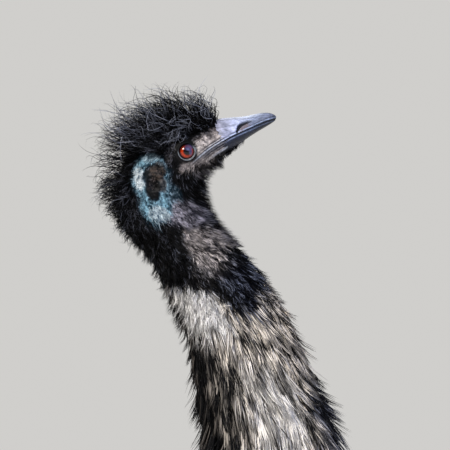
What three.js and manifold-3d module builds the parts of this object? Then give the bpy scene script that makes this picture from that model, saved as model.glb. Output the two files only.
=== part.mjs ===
// A life-size standing emu, as a museum model: millimetres, +Z up, the bird facing +X.
// The origin is on the floor, under the middle of the bird's bounding box.
// Body, neck and head are lofts between a back line and a belly line, drawn out to the tips of the
// plumage, and are parted into their named pieces by thin cuts.
import * as THREE from "three";
import { mergeVertices } from "three/addons/utils/BufferGeometryUtils.js";
import Module from "manifold-3d";

const wasm = await Module();
wasm.setup();

// Driving dimensions
const GAP = 0.3; // left between pieces that touch
const FAR = 3000; // the reach of a cutting block, past the whole bird
const EYE_HEIGHT = 1600.5;
const EYE_FORWARD = 296; // of the origin
const EYEBALL_RADIUS = 11;
const EYE_SPACING = 47; // between the centres of the two eyeballs
const STANCE_WIDTH = 210; // between the middles of the two feet
const STEP_LENGTH = 60; // the right foot stands this far ahead of the left
const FOOT_BACK = -42; // the toe joints, behind the origin, at the middle of the stance
const ANKLE_HEIGHT = 50; // the top of the foot, where the shank begins
const HOCK_BACK = 58; // the hock, behind the toe joints
const HOCK_HEIGHT = 415;
const CUFF_HEIGHT = 432; // where the feathers end, just above the hock
const KNEE_FORWARD = 120; // the knee, ahead of the hock
const KNEE_HEIGHT = 700;
const TOE_SPREAD = 37; // degrees between the middle toe and each side toe
const MIDDLE_TOE = 118; // from the toe joint to the root of the claw
const SIDE_TOE = 76;
const MIDDLE_CLAW = 30;
const SIDE_CLAW = 23;
const FEATHER_FLOOR = 640; // the thighs are hidden in the body's plumage above this height

// How finely the curved surfaces are faceted
const BODY_GRID = [34, 14]; // rings along, and sides around
const HEAD_GRID = [25, 14];
const THIGH_GRID = [8, 10];
const SHANK_GRID = [12, 8];
const FOOT_GRID = [6, 12];
const TOE_GRID = [7, 8];
const CLAW_GRID = [5, 6];
const WING_GRID = [8, 8];
const EYE_GRID = [10, 7];

const HANDS = { left: 1, right: -1 }; // which side of the middle, along Y

const COLOURS = {
  brownFeather: 0x6b5a48,
  darkFeather: 0x3a322b,
  paleFeather: 0xa8957c,
  blackFeather: 0x15141a,
  blueSkin: 0x7fa3bd,
  bill: 0x5f6675,
  legSkin: 0x4f4a44,
  claw: 0x2b2826,
  eye: 0x8a2f12,
};

// Solids

// The closed solid of a three.js geometry.
function solidOf(geometry) {
  const bare = geometry.clone();
  bare.deleteAttribute("normal");
  bare.deleteAttribute("uv");
  const merged = mergeVertices(bare, 1e-4);
  return new wasm.Manifold(
    new wasm.Mesh({
      numProp: 3,
      vertProperties: new Float32Array(merged.attributes.position.array),
      triVerts: new Uint32Array(merged.index.array),
    }),
  );
}

// The closed solid of these points and triangles, turned so that its faces point outwards.
function outwardSolid(positions, faces) {
  const geometry = new THREE.BufferGeometry()
    .setAttribute("position", new THREE.Float32BufferAttribute(positions, 3))
    .setIndex(faces);
  const made = solidOf(geometry);
  return made.volume() > 0
    ? made
    : solidOf(geometry.setIndex(faces.toReversed()));
}

function geometryOf(solid) {
  const mesh = solid.getMesh();
  return new THREE.BufferGeometry()
    .setAttribute(
      "position",
      new THREE.BufferAttribute(new Float32Array(mesh.vertProperties), 3),
    )
    .setIndex(new THREE.BufferAttribute(new Uint32Array(mesh.triVerts), 1));
}

// A block that holds everything on the normal's side of a plane.
function halfSpace(point, normal) {
  const block = new THREE.BoxGeometry(FAR, FAR, FAR);
  block.translate(0, 0, FAR / 2);
  const turn = new THREE.Quaternion().setFromUnitVectors(
    new THREE.Vector3(0, 0, 1),
    new THREE.Vector3(...normal).normalize(),
  );
  block.applyQuaternion(turn);
  block.translate(...point);
  return solidOf(block);
}

// Cuts a solid in two at a plane, leaving the gap: first the side that the normal points to.
function partAt(solid, point, normal) {
  const unit = new THREE.Vector3(...normal).normalize();
  const past = new THREE.Vector3(...point).addScaledVector(unit, GAP);
  return [
    solid.intersect(halfSpace(past.toArray(), normal)),
    solid.subtract(halfSpace(point, normal)),
  ];
}

// The largest of the bodies that a cut left, without its crumbs.
function largest(solid) {
  return solid.decompose().sort((a, b) => b.volume() - a.volume())[0];
}

const joined = (solids) => wasm.Manifold.union(solids);

// Lofts

// One section of a loft in the side view: where it meets the back line and the belly line, and half its
// width. waist is how far up the widest place is, and top and bottom say how full each half is: 2 is an
// ellipse.
const section = (
  back,
  belly,
  halfWidth,
  { side = 0, waist = 0.5, top = 2, bottom = 2 } = {},
) => ({ back, belly, halfWidth, side, waist, top, bottom });

// A surface through sections. point(t, angle) runs from the first section at 0 to the last at 1,
// with the angle from the back line at 0, by the bird's left side, to the belly line at PI.
function loft(sections) {
  const through = (pick) =>
    new THREE.CatmullRomCurve3(
      sections.map((s) => new THREE.Vector3(...pick(s))),
      false,
      "centripetal",
    );
  const back = through((s) => [s.back[0], s.side, s.back[1]]);
  const belly = through((s) => [s.belly[0], s.side, s.belly[1]]);
  const sizes = new THREE.CatmullRomCurve3(
    sections.map((s) => new THREE.Vector3(s.halfWidth, s.waist * 100, 0)),
    false,
    "catmullrom",
    0.5,
  );
  const fullness = new THREE.CatmullRomCurve3(
    sections.map((s) => new THREE.Vector3(s.top, s.bottom, 0)),
    false,
    "catmullrom",
    0.5,
  );

  function point(t, angle, grow = 0) {
    const top = back.getPoint(t);
    const bottom = belly.getPoint(t);
    const [halfWidth, waist] = sizes.getPoint(t).toArray();
    const [upper, lower] = fullness.getPoint(t).toArray();
    const up = top.clone().sub(bottom);
    const height = up.length() + 2 * grow;
    up.normalize();
    const share = waist / 100;
    const c = Math.cos(angle);
    const s = Math.sin(angle);
    const power = 2 / (c > 0 ? upper : lower);
    const rise = c > 0 ? (1 - share) * c ** power : -share * (-c) ** power;
    return bottom
      .addScaledVector(up, (share + rise) * height - grow)
      .add(
        new THREE.Vector3(
          0,
          Math.sign(s) * Math.abs(s) ** power * (halfWidth + grow),
          0,
        ),
      );
  }

  function normal(t, angle) {
    const step = 0.01;
    const from = Math.max(0, t - step);
    const to = Math.min(1, t + step);
    const along = point(to, angle).sub(point(from, angle));
    const around = point(t, angle + step).sub(point(t, angle - step));
    const out = around.cross(along).normalize();
    const middle = point(t, angle + Math.PI)
      .add(point(t, angle))
      .multiplyScalar(0.5);
    return out.dot(point(t, angle).sub(middle)) < 0 ? out.negate() : out;
  }

  // The closed solid, with extra(t, angle) added to each point's distance from the middle line.
  function solid([rings, sides], { grow = 0, extra = () => 0 } = {}) {
    const positions = [];
    const faces = [];
    for (let i = 0; i <= rings; i++) {
      for (let j = 0; j < sides; j++) {
        const angle = (2 * Math.PI * j) / sides;
        const added = extra(i / rings, angle);
        positions.push(...point(i / rings, angle, grow + added).toArray());
      }
    }
    for (let i = 0; i < rings; i++) {
      for (let j = 0; j < sides; j++) {
        const a = i * sides + j;
        const b = i * sides + ((j + 1) % sides);
        faces.push(a, b, a + sides, b, b + sides, a + sides);
      }
    }
    for (const [ring, flip] of [
      [0, true],
      [rings, false],
    ]) {
      const centre = positions.length / 3;
      const middle = point(ring / rings, 0)
        .add(point(ring / rings, Math.PI))
        .multiplyScalar(0.5);
      positions.push(...middle.toArray());
      for (let j = 0; j < sides; j++) {
        const a = ring * sides + j;
        const b = ring * sides + ((j + 1) % sides);
        faces.push(...(flip ? [centre, b, a] : [centre, a, b]));
      }
    }
    return outwardSolid(positions, faces);
  }

  return { point, normal, solid };
}

// A tapering lock of feathers from root to tip, bowed out by bow, width across and thick along the bow.
function lock(root, tip, bow, width, thick, { sides, rings }) {
  const curve = new THREE.QuadraticBezierCurve3(
    root,
    root.clone().lerp(tip, 0.5).add(bow),
    tip,
  );
  const across = tip.clone().sub(root).cross(bow).normalize();
  const positions = [];
  const faces = [];
  for (let i = 0; i < rings; i++) {
    const centre = curve.getPoint(i / rings);
    const deep = curve.getTangent(i / rings).cross(across).normalize();
    const taper = 1 - (i / rings) ** 2;
    for (let j = 0; j < sides; j++) {
      const angle = (2 * Math.PI * j) / sides;
      positions.push(
        ...centre
          .clone()
          .addScaledVector(across, (width / 2) * taper * Math.cos(angle))
          .addScaledVector(deep, (thick / 2) * taper * Math.sin(angle))
          .toArray(),
      );
    }
  }
  positions.push(...tip.toArray(), ...root.toArray());
  const [end, start] = [rings * sides, rings * sides + 1];
  for (let j = 0; j < sides; j++) {
    const next = (j + 1) % sides;
    for (let i = 0; i < rings - 1; i++) {
      const [a, b] = [i * sides + j, i * sides + next];
      faces.push(a, b, a + sides, b, b + sides, a + sides);
    }
    faces.push(start, next, j);
    faces.push((rings - 1) * sides + j, (rings - 1) * sides + next, end);
  }
  return outwardSolid(positions, faces);
}

// A number from 0 to 1 that differs from lock to lock and is the same each time.
const scatter = (n) => Math.abs(Math.sin(n * 12.9898) * 43758.5453) % 1;

// Trunk and neck, from the rump's hanging plumes to the top of the neck
const rump = section([-432, 742], [-424, 672], 62);
const tailBase = section([-410, 850], [-384, 614], 134, { waist: 0.42 });
const hips = section([-330, 968], [-292, 590], 190, { waist: 0.42 });
const loin = section([-215, 1052], [-190, 580], 222, { waist: 0.44 });
const midBack = section([-80, 1090], [-50, 582], 232, { waist: 0.46 });
const foreBack = section([28, 1086], [95, 596], 224, { waist: 0.46 });
const shoulders = section([105, 1076], [232, 640], 205, { waist: 0.46 });
const breast = section([168, 1074], [338, 722], 180, { waist: 0.47 });
const crop = section([222, 1084], [405, 838], 150, { waist: 0.48 });
const neckRoot = section([262, 1108], [440, 962], 122);
const neckBase = section([287, 1148], [461, 1085], 100);
const neckLow = section([301, 1210], [467, 1200], 86);
const neckMiddle = section([307, 1285], [463, 1298], 74);
const neckHigh = section([298, 1352], [440, 1357], 67);
const collar = section([288, 1408], [415, 1420], 59);
const ruff = section([270, 1452], [381, 1473], 48);
const throat = section([256, 1480], [346, 1510], 41);
const nape = section([238, 1505], [322, 1539], 38);

const trunkSections = [
  rump,
  tailBase,
  hips,
  loin,
  midBack,
  foreBack,
  shoulders,
  breast,
  crop,
  neckRoot,
  neckBase,
  neckLow,
  neckMiddle,
  neckHigh,
  collar,
  ruff,
  throat,
  nape,
];
const trunkLoft = loft(trunkSections);
const trunkAt = (name) =>
  trunkSections.indexOf(name) / (trunkSections.length - 1);

// The plumage parts along the spine and hangs in locks that slant back and down.
const FURROW_DEPTH = 7;
const FURROWS = 4;
const FURROW_SLANT = 5.5;
const PARTING_DEPTH = 9;
const PARTING_WIDTH = 0.16; // as an angle from the spine
function plumage(t, angle) {
  const fromSpine = Math.min(angle, 2 * Math.PI - angle);
  const onTrunk =
    1 - THREE.MathUtils.smoothstep(t, trunkAt(breast), trunkAt(neckRoot));
  const slant = Math.sin(FURROWS * (fromSpine + FURROW_SLANT * t));
  const parting = Math.exp(-((fromSpine / PARTING_WIDTH) ** 2));
  return onTrunk * (FURROW_DEPTH * slant - PARTING_DEPTH * parting);
}
const trunkSolid = (grow = 0) =>
  trunkLoft.solid(BODY_GRID, { grow, extra: plumage });

// Broad locks over the flanks and round the tail, whose tips hang past the body's own outline,
// and narrow ones down the neck. from and to run along the loft, and angle is from the spine.
const BODY_FALL = new THREE.Vector3(-0.4, 0, -1).normalize();
const BROAD = { fall: BODY_FALL, hands: [1, -1], sides: 4, rings: 2 };
const NARROW = { hands: [1], sides: 3, rings: 2, wide: 24, thick: 12 };
const PLUME_ROWS = [
  { ...BROAD, from: 0.02, to: 0.36, angle: 2.2, count: 6, long: 130, lift: 10, wide: 82, thick: 28 },
  { ...BROAD, from: 0, to: 0.3, angle: 1.6, count: 4, long: 150, lift: 12, wide: 86, thick: 30 },
  { ...BROAD, from: 0, to: 0.1, angle: 0.9, count: 2, long: 150, lift: 14, wide: 82, thick: 30 },
  { ...NARROW, from: 0.58, to: 0.9, angle: Math.PI - 0.1, count: 5, long: 58, lift: 14 },
  { ...NARROW, from: 0.7, to: 0.92, angle: 0.1, count: 3, long: 50, lift: 9 },
  { ...NARROW, hands: [1, -1], from: 0.64, to: 0.84, angle: 1.6, count: 2, long: 55, lift: 9 },
];
function downTheNeck(t, angle) {
  const step = 0.01;
  return trunkLoft.point(t - step, angle).sub(trunkLoft.point(t + step, angle)).normalize();
}
function plume(row, hand, place, vary) {
  const t = THREE.MathUtils.lerp(row.from, row.to, (place + 0.3 * vary) / (row.count - 0.7));
  const angle = hand * (row.angle + 0.2 * (vary - 0.5));
  const fall = row.fall ?? downTheNeck(t, angle);
  const out = trunkLoft.normal(t, angle);
  const root = trunkLoft.point(t, angle).addScaledVector(out, -0.4 * row.thick);
  const tip = root
    .clone()
    .addScaledVector(fall, row.long * (0.8 + 0.4 * vary))
    .addScaledVector(out, row.lift);
  return lock(root, tip, out.multiplyScalar(row.lift), row.wide, row.thick, row);
}
function plumes() {
  const made = [];
  for (const row of PLUME_ROWS) {
    for (let place = 0; place < row.count; place++) {
      for (const hand of row.hands)
        made.push(plume(row, hand, place, scatter(made.length * 7 + hand)));
    }
  }
  return made;
}

// Head and bill, from the top of the neck to the tip of the bill
const headSections = [
  nape,
  section([225, 1526], [316, 1559], 38, { waist: 0.52 }),
  section([223, 1549], [316, 1571], 37, { waist: 0.54 }),
  section([229, 1571], [319, 1578], 36, { waist: 0.55 }),
  section([240, 1592], [322, 1583], 35, { waist: 0.54 }),
  section([258, 1611], [326, 1586], 33.5, { waist: 0.52 }),
  section([280, 1624], [329, 1589], 31.5, { waist: 0.5 }),
  section([300, 1630], [332.5, 1592], 27.5, { waist: 0.46, top: 1.9 }),
  section([317, 1634], [337, 1595.5], 23, { waist: 0.4, top: 1.7 }),
  section([328, 1635.5], [341, 1599], 20, { waist: 0.36, top: 1.5 }),
  section([336, 1637], [345.5, 1603], 17.5, { waist: 0.36, top: 1.4 }),
  section([346.5, 1637.5], [353.5, 1609], 15, { waist: 0.38, top: 1.35 }),
  section([359.5, 1638.5], [364, 1616.5], 12.5, { waist: 0.4, top: 1.35 }),
  section([371.5, 1641], [374, 1623], 10, { waist: 0.42, top: 1.5 }),
  section([381, 1642.5], [382.5, 1628], 7.6, { waist: 0.44, top: 1.8 }),
  section([388, 1642], [389, 1632], 5.2),
  section([392.5, 1640], [393, 1635], 2.8),
  section([394.2, 1638], [394.2, 1637], 0.6),
];
const headLoft = loft(headSections);
const headSolid = (grow = 0) => headLoft.solid(HEAD_GRID, { grow });

// The mouth: a thin curved slit along the bill's cutting edges, from past the tip to behind the edge
// of the feathers.
function mouthSlit() {
  const edge = new THREE.CatmullRomCurve3(
    [
      [324, 1603.5],
      [344.5, 1616.3],
      [367, 1626.8],
      [385.5, 1634.7],
      [402, 1638.6],
    ].map(([x, z]) => new THREE.Vector3(x, 0, z)),
  ).getPoints(5);
  const outline = new THREE.Shape([
    ...edge.map((p) => new THREE.Vector2(p.x, p.z + GAP / 2)),
    ...edge.reverse().map((p) => new THREE.Vector2(p.x, p.z - GAP / 2)),
  ]);
  const depth = 120;
  const slit = new THREE.ExtrudeGeometry(outline, { depth, bevelEnabled: false });
  slit.rotateX(Math.PI / 2);
  slit.translate(0, depth / 2, 0);
  return solidOf(slit);
}

// A ball stretched to these half sizes, tilted up towards the front, at a place on the left or right.
function oval(halfSizes, [x, y, z], hand, [around, down], tilt = 0) {
  const geometry = new THREE.SphereGeometry(1, around, down);
  geometry.scale(...halfSizes);
  geometry.rotateY(-THREE.MathUtils.degToRad(tilt));
  geometry.translate(x, hand * y, z);
  return solidOf(geometry);
}

// A nostril: a long slot on each side of the upper bill, that slants up towards the tip.
const nostril = (hand) => oval([8.4, 3, 2.2], [358.5, 10.8, 1628.4], hand, [6, 4], 37);

function eyeball(hand, grow = 0) {
  const radius = EYEBALL_RADIUS + grow;
  const place = [EYE_FORWARD, EYE_SPACING / 2, EYE_HEIGHT];
  return oval([radius, radius, radius], place, hand, EYE_GRID);
}

// An ear: a low oval swelling on the side of the head, with the open ear pit in its middle.
const EAR_PLACE = [262.5, 34, 1566.5];
const ear = (hand, grow = 0) =>
  oval([11 + grow, 3.6 + grow, 14 + grow], EAR_PLACE, hand, [9, 6]);
function earPit(hand) {
  const [x, y, z] = EAR_PLACE;
  return oval([3.6, 3.4, 5], [x, y + 4, z], hand, [6, 4]);
}

// The loose crown: a dense hood over the back of the head, with wisps that stand up and curl backwards.
const CROWN_DEPTH = 27;
const CROWN_HIDDEN = 3; // how far the hood's solid runs under the skin past its edges
const CROWN_FROM = 0.5 / (headSections.length - 1);
const CROWN_TO = 8.7 / (headSections.length - 1);
const WISP_ROWS = 8;
const WISPS_ACROSS = 4;
const WISP_LENGTH = 26;
const WISP_THICKNESS = 6.5;
const WISP_ROOT = 5; // how deep in the hood a wisp begins
function crownDepth(t, angle) {
  const fromTop = Math.min(angle, 2 * Math.PI - angle);
  const along = (t - CROWN_FROM) / (CROWN_TO - CROWN_FROM);
  const rise = THREE.MathUtils.smoothstep(along, -0.05, 0.3);
  const fall = 1 - THREE.MathUtils.smoothstep(along, 0.72, 1.02);
  const round = 1 - THREE.MathUtils.smoothstep(fromTop, 0.35, 1.35);
  return -CROWN_HIDDEN + (CROWN_DEPTH + CROWN_HIDDEN) * rise * fall * round;
}
function crownTuft() {
  const hood = headLoft.solid(HEAD_GRID, { extra: crownDepth });
  const wisps = [];
  for (let row = 0; row < WISP_ROWS; row++) {
    for (let k = 0; k < WISPS_ACROSS; k++) {
      const vary = scatter(row * 11 + k * 3);
      const along = (row + 0.5 * (k % 2)) / (WISP_ROWS - 0.5);
      const t = THREE.MathUtils.lerp(CROWN_FROM, CROWN_TO, 0.1 + 0.84 * along);
      const across = (k / (WISPS_ACROSS - 1)) * 2 - 1;
      const angle = across * 0.8 + 0.2 * (vary - 0.5);
      const turn = (angle + 2 * Math.PI) % (2 * Math.PI);
      const out = headLoft.normal(t, turn);
      const depth = Math.max(0, crownDepth(t, turn));
      const root = headLoft.point(t, turn, depth).addScaledVector(out, -WISP_ROOT);
      const tip = root
        .clone()
        .addScaledVector(out, WISP_LENGTH * (0.85 + 0.35 * vary))
        .add(new THREE.Vector3(-14 + 6 * vary, 0, -3));
      const bow = new THREE.Vector3(6, 0, 6);
      wisps.push(lock(root, tip, bow, WISP_THICKNESS, WISP_THICKNESS, { sides: 3, rings: 2 }));
    }
  }
  return joined([hood, ...wisps]);
}

// Legs. Each is built round the middle of its own foot, facing +X.
function leg(hand) {
  const side = (hand * STANCE_WIDTH) / 2;
  const footX = FOOT_BACK - (hand * STEP_LENGTH) / 2;
  const hockX = footX - HOCK_BACK;
  const kneeX = hockX + KNEE_FORWARD;
  const hipSide = side * 0.92;

  // A level section of the leg: its middle, its height, its length front to back and its width.
  const level = (x, z, long, wide, y = side) =>
    section([x - long / 2, z], [x + long / 2, z], wide / 2, { side: y });

  const thighLoft = loft([
    level(kneeX + 8, KNEE_HEIGHT + 60, 190, 130, hipSide),
    level(kneeX - 4, KNEE_HEIGHT, 204, 140, hipSide),
    level(hockX + 84, 620, 178, 130, hipSide),
    level(hockX + 52, 545, 124, 102, side * 0.96),
    level(hockX + 22, 480, 82, 72),
    level(hockX + 6, 450, 64, 58),
    level(hockX + 3, CUFF_HEIGHT + GAP, 58, 52),
  ]);
  const shankLoft = loft([
    level(hockX + 2, CUFF_HEIGHT, 56, 48),
    level(hockX, HOCK_HEIGHT, 64, 54),
    level(hockX + 6, 385, 54, 46),
    level(hockX + 16, 330, 39, 32),
    level(hockX + 28, 240, 36, 29),
    level(hockX + 41, 150, 37, 30),
    level(hockX + 51, 90, 42, 36),
    level(hockX + 56, 66, 50, 46),
    level(footX + 2, ANKLE_HEIGHT + GAP, 56, 52),
  ]);
  const footLoft = loft([
    level(footX + 2, ANKLE_HEIGHT, 56, 52),
    level(footX + 2, 34, 62, 57),
    level(footX + 2, 16, 64, 60),
    level(footX + 1, 5, 58, 54),
    level(footX + 1, 0, 50, 46),
  ]);
  return { side, footX, thighLoft, shankLoft, footLoft };
}

const TOE_END = 1.02; // of a toe's length, where its claw begins

// A toe along +X from the toe joint, standing on a flat sole, with its pads.
function toe(length, width, grow = 0) {
  const top = (share) => 33 - 14 * share;
  const half = (share) => (width / 2) * (1 - 0.22 * share);
  const pads = loft(
    [-0.12, 0, 0.2, 0.36, 0.52, 0.68, 0.84, 0.95, TOE_END].map((share, i) => {
      const swell = i % 2 ? 1.05 : 0.96;
      const end = share > 1 ? 0.45 : share > 0.9 ? 0.82 : 1;
      return section(
        [share * length, top(share) * end + (1 - end) * 4],
        [share * length + 2, -4],
        half(share) * swell * end,
        { waist: 0.42, top: 2.1, bottom: 2.6 },
      );
    }),
  );
  return pads.solid(TOE_GRID, { grow });
}

// A claw that carries on from the end of a toe of this length, arched, with its tip just off the floor.
function claw(toeLength, length, width) {
  const root = toeLength * TOE_END + 2 + GAP;
  const arched = loft(
    [
      [0, 14.5, 3.6, 0.94],
      [0.22, 15.2, 3.2, 1],
      [0.5, 13, 2.4, 0.8],
      [0.8, 8.4, 1.6, 0.46],
      [1, 3.6, 1.2, 0.16],
    ].map(([share, top, bottom, wide]) =>
      section([root + share * length, top], [root + share * length, bottom], (width / 2) * wide, {
        waist: 0.34,
      }),
    ),
  );
  return arched.solid(CLAW_GRID);
}

// The short wing: a flattened limb that lies back along the side of the breast, half sunk in the plumage.
const WING_STATIONS = [
  { share: 0, deep: 30, thick: 13 },
  { share: 0.14, deep: 46, thick: 19 },
  { share: 0.4, deep: 46, thick: 19 },
  { share: 0.66, deep: 36, thick: 16 },
  { share: 0.86, deep: 24, thick: 12 },
  { share: 1, deep: 9, thick: 5 },
];
const WING_SHOULDER = trunkAt(breast) - 0.011;
const WING_REACH = 0.095; // of the body's loft, from the shoulder back to the wing's tip
const WING_ANGLE = [1.15, 1.4]; // from the spine, at the shoulder and at the tip
function wing(hand, grow = 0) {
  const limb = loft(
    WING_STATIONS.map(({ share, deep, thick }) => {
      const angle = hand * THREE.MathUtils.lerp(...WING_ANGLE, share);
      const at = trunkLoft.point(WING_SHOULDER - WING_REACH * share, angle);
      return section([at.x, at.z + deep / 2], [at.x, at.z - deep / 2], thick, {
        side: at.y - hand * 2,
      });
    }),
  );
  return limb.solid(WING_GRID, { grow });
}

// Assembly

const pieces = {};
function add(name, solid, colour, roughness = 0.85) {
  pieces[name] = { solid, colour, roughness };
}

// Trunk and neck as one, less the beds of the wings, then parted across from the head down.
const PARTINGS = [
  { at: [300, 0, 1458], normal: [-0.55, 0, 0.84], name: "neck_upper", colour: COLOURS.blackFeather },
  { at: [370, 0, 1300], normal: [-0.2, 0, 0.98], name: "neck_middle", colour: COLOURS.paleFeather },
  { at: [390, 0, 1128], normal: [0.22, 0, 0.98], name: "neck_lower", colour: COLOURS.brownFeather },
  { at: [232, 0, 880], normal: [0.94, 0, -0.34], name: "breast", colour: COLOURS.darkFeather },
  { at: [-318, 0, 800], normal: [-1, 0, 0.12], name: "tail", colour: COLOURS.darkFeather },
];
function addBody() {
  const thighRoom = [1, -1].map((hand) => leg(hand).thighLoft.solid(THIGH_GRID, { grow: 1 }));
  const hanging = joined(plumes()).subtract(joined(thighRoom));
  let body = joined([trunkSolid(), hanging]);
  for (const hand of [1, -1]) body = body.subtract(wing(hand, GAP));
  for (const { at, normal, name, colour } of PARTINGS) {
    const [beyond, rest] = partAt(body, at, normal);
    add(name, largest(beyond), colour);
    body = rest;
  }
  add("trunk", largest(body), COLOURS.brownFeather);
}

// The head stands on the last section of the neck, and the bill begins at the edge of the feathers.
const NAPE_POINT = [nape.back[0], 0, nape.back[1]];
const NAPE_NORMAL = [nape.back[1] - nape.belly[1], 0, nape.belly[0] - nape.back[0]];
const FACE_EDGE = { point: [327.5, 0, 1634], normal: [0.93, 0, 0.36] };
function addHead() {
  const [aboveNape] = partAt(headSolid(), NAPE_POINT, NAPE_NORMAL);
  let [beak, head] = partAt(aboveNape, FACE_EDGE.point, FACE_EDGE.normal);
  let [crown] = partAt(crownTuft(), NAPE_POINT, NAPE_NORMAL);
  for (const [word, hand] of Object.entries(HANDS)) {
    head = head.subtract(eyeball(hand, GAP)).subtract(ear(hand, GAP));
    beak = beak.subtract(nostril(hand));
    crown = crown.subtract(ear(hand, GAP));
    add(`eye_${word}`, eyeball(hand), COLOURS.eye, 0.1);
    add(`ear_${word}`, ear(hand).subtract(earPit(hand)), COLOURS.blueSkin, 0.6);
  }
  const [lower, upper] = beak
    .subtract(mouthSlit())
    .decompose()
    .sort((p, q) => q.volume() - p.volume())
    .slice(0, 2)
    .sort((p, q) => p.boundingBox().min[2] - q.boundingBox().min[2]);
  add("head", largest(head), COLOURS.blackFeather);
  add("bill_upper", upper, COLOURS.bill, 0.45);
  add("bill_lower", lower, COLOURS.bill, 0.45);
  add("crown_tuft", largest(crown.subtract(headSolid(GAP))), COLOURS.blackFeather);
}

const TOES = [
  { name: "middle", spread: 0, length: MIDDLE_TOE, width: 31, claw: MIDDLE_CLAW },
  { name: "inner", spread: -TOE_SPREAD, length: SIDE_TOE, width: 25, claw: SIDE_CLAW },
  { name: "outer", spread: TOE_SPREAD, length: SIDE_TOE, width: 25, claw: SIDE_CLAW },
];
const CLAW_TO_TOE = 0.6; // how wide a claw is beside its toe
function addLeg(word, hand) {
  const limb = leg(hand);
  const thigh = limb.thighLoft
    .solid(THIGH_GRID)
    .subtract(trunkSolid(GAP))
    .intersect(halfSpace([0, 0, FEATHER_FLOOR], [0, 0, -1]));
  add(`thigh_${word}`, largest(thigh), COLOURS.darkFeather);
  add(`shank_${word}`, limb.shankLoft.solid(SHANK_GRID), COLOURS.legSkin, 0.7);
  add(`foot_${word}`, limb.footLoft.solid(FOOT_GRID), COLOURS.legSkin, 0.7);

  const floor = halfSpace([0, 0, 0], [0, 0, -1]);
  const padRoom = limb.footLoft.solid(FOOT_GRID, { grow: GAP });
  const place = (solid, spread) =>
    solid.rotate([0, 0, hand * spread]).translate([limb.footX, limb.side, 0]);
  const [middle] = TOES;
  const middleRoom = place(toe(middle.length, middle.width, GAP), middle.spread);
  for (const { name, spread, length, width, claw: clawLength } of TOES) {
    const whole = place(toe(length, width), spread).subtract(padRoom).subtract(floor);
    const cut = name === middle.name ? whole : whole.subtract(middleRoom);
    const nail = place(claw(length, clawLength, width * CLAW_TO_TOE), spread);
    add(`toe_${name}_${word}`, largest(cut), COLOURS.legSkin, 0.7);
    add(`claw_${name}_${word}`, nail, COLOURS.claw, 0.4);
  }
}

addBody();
addHead();
for (const [word, hand] of Object.entries(HANDS)) {
  add(`wing_${word}`, wing(hand), COLOURS.brownFeather);
  addLeg(word, hand);
}

const emu = new THREE.Group();
for (const [name, { solid, colour, roughness }] of Object.entries(pieces)) {
  const material = new THREE.MeshStandardMaterial({ color: colour, roughness, metalness: 0 });
  const mesh = new THREE.Mesh(geometryOf(solid), material);
  mesh.name = name;
  emu.add(mesh);
}

export default emu;
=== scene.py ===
import math

import bmesh
import bpy
import numpy as np
from mathutils import Matrix, Vector, kdtree, noise


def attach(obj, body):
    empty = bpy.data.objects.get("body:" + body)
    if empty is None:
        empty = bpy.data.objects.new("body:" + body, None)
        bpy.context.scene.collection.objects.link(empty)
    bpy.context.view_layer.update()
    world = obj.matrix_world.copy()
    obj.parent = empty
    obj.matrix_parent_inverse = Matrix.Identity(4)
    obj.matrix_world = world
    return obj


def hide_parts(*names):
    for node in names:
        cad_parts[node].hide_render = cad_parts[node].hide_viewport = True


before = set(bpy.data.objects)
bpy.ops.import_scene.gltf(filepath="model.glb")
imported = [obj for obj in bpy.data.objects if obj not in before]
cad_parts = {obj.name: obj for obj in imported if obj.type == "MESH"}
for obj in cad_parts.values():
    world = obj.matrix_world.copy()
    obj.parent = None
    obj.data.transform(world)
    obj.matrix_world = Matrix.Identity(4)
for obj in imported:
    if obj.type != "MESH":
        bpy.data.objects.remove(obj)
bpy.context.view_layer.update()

# A life-size standing emu. Lengths are in millimetres here and become metres in the meshes.
# +X is the way the bird faces, +Y its left, +Z up.
MM = 0.001
HANDS = {"left": 1, "right": -1}

# Camera and picture
CAMERA_PLACE = (0.339, -4.0, 1.522)
PICTURE_WIDTH = 0.486  # metres across the picture, at the bird's middle
SENSOR_WIDTH = 36.0

# Head
EYE_PLACE = np.array([296.0, 23.5, 1600.5])
EYE_RADIUS = 11.0
EYE_AXIS = np.array([0.24, 0.96, 0.06])
LID_RADIUS = 12.1  # of the skin drawn over the eyeball
LID_START, LID_REACH = 5.0, 18.0  # the skin is drawn out between these, from the eyeball's middle
LID_OPENING = (54.5, 46.5)  # degrees off the eye's axis, at the lids' edge and within them
EAR_PLACE = (262.5, 1566.5)  # seen from the side, as (x, z)

# Legs
STANCE_WIDTH = 210.0
STEP_LENGTH = 60.0
FOOT_BACK = -42.0
HOCK_BACK = 58.0
KNEE_FORWARD = 120.0
TOES = {
    "middle": {"spread": 0.0, "length": 118.0, "width": 31.0, "claw": 30.0},
    "inner": {"spread": -37.0, "length": 76.0, "width": 25.0, "claw": 23.0},
    "outer": {"spread": 37.0, "length": 76.0, "width": 25.0, "claw": 23.0},
}


# Curves and lofts

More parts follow.
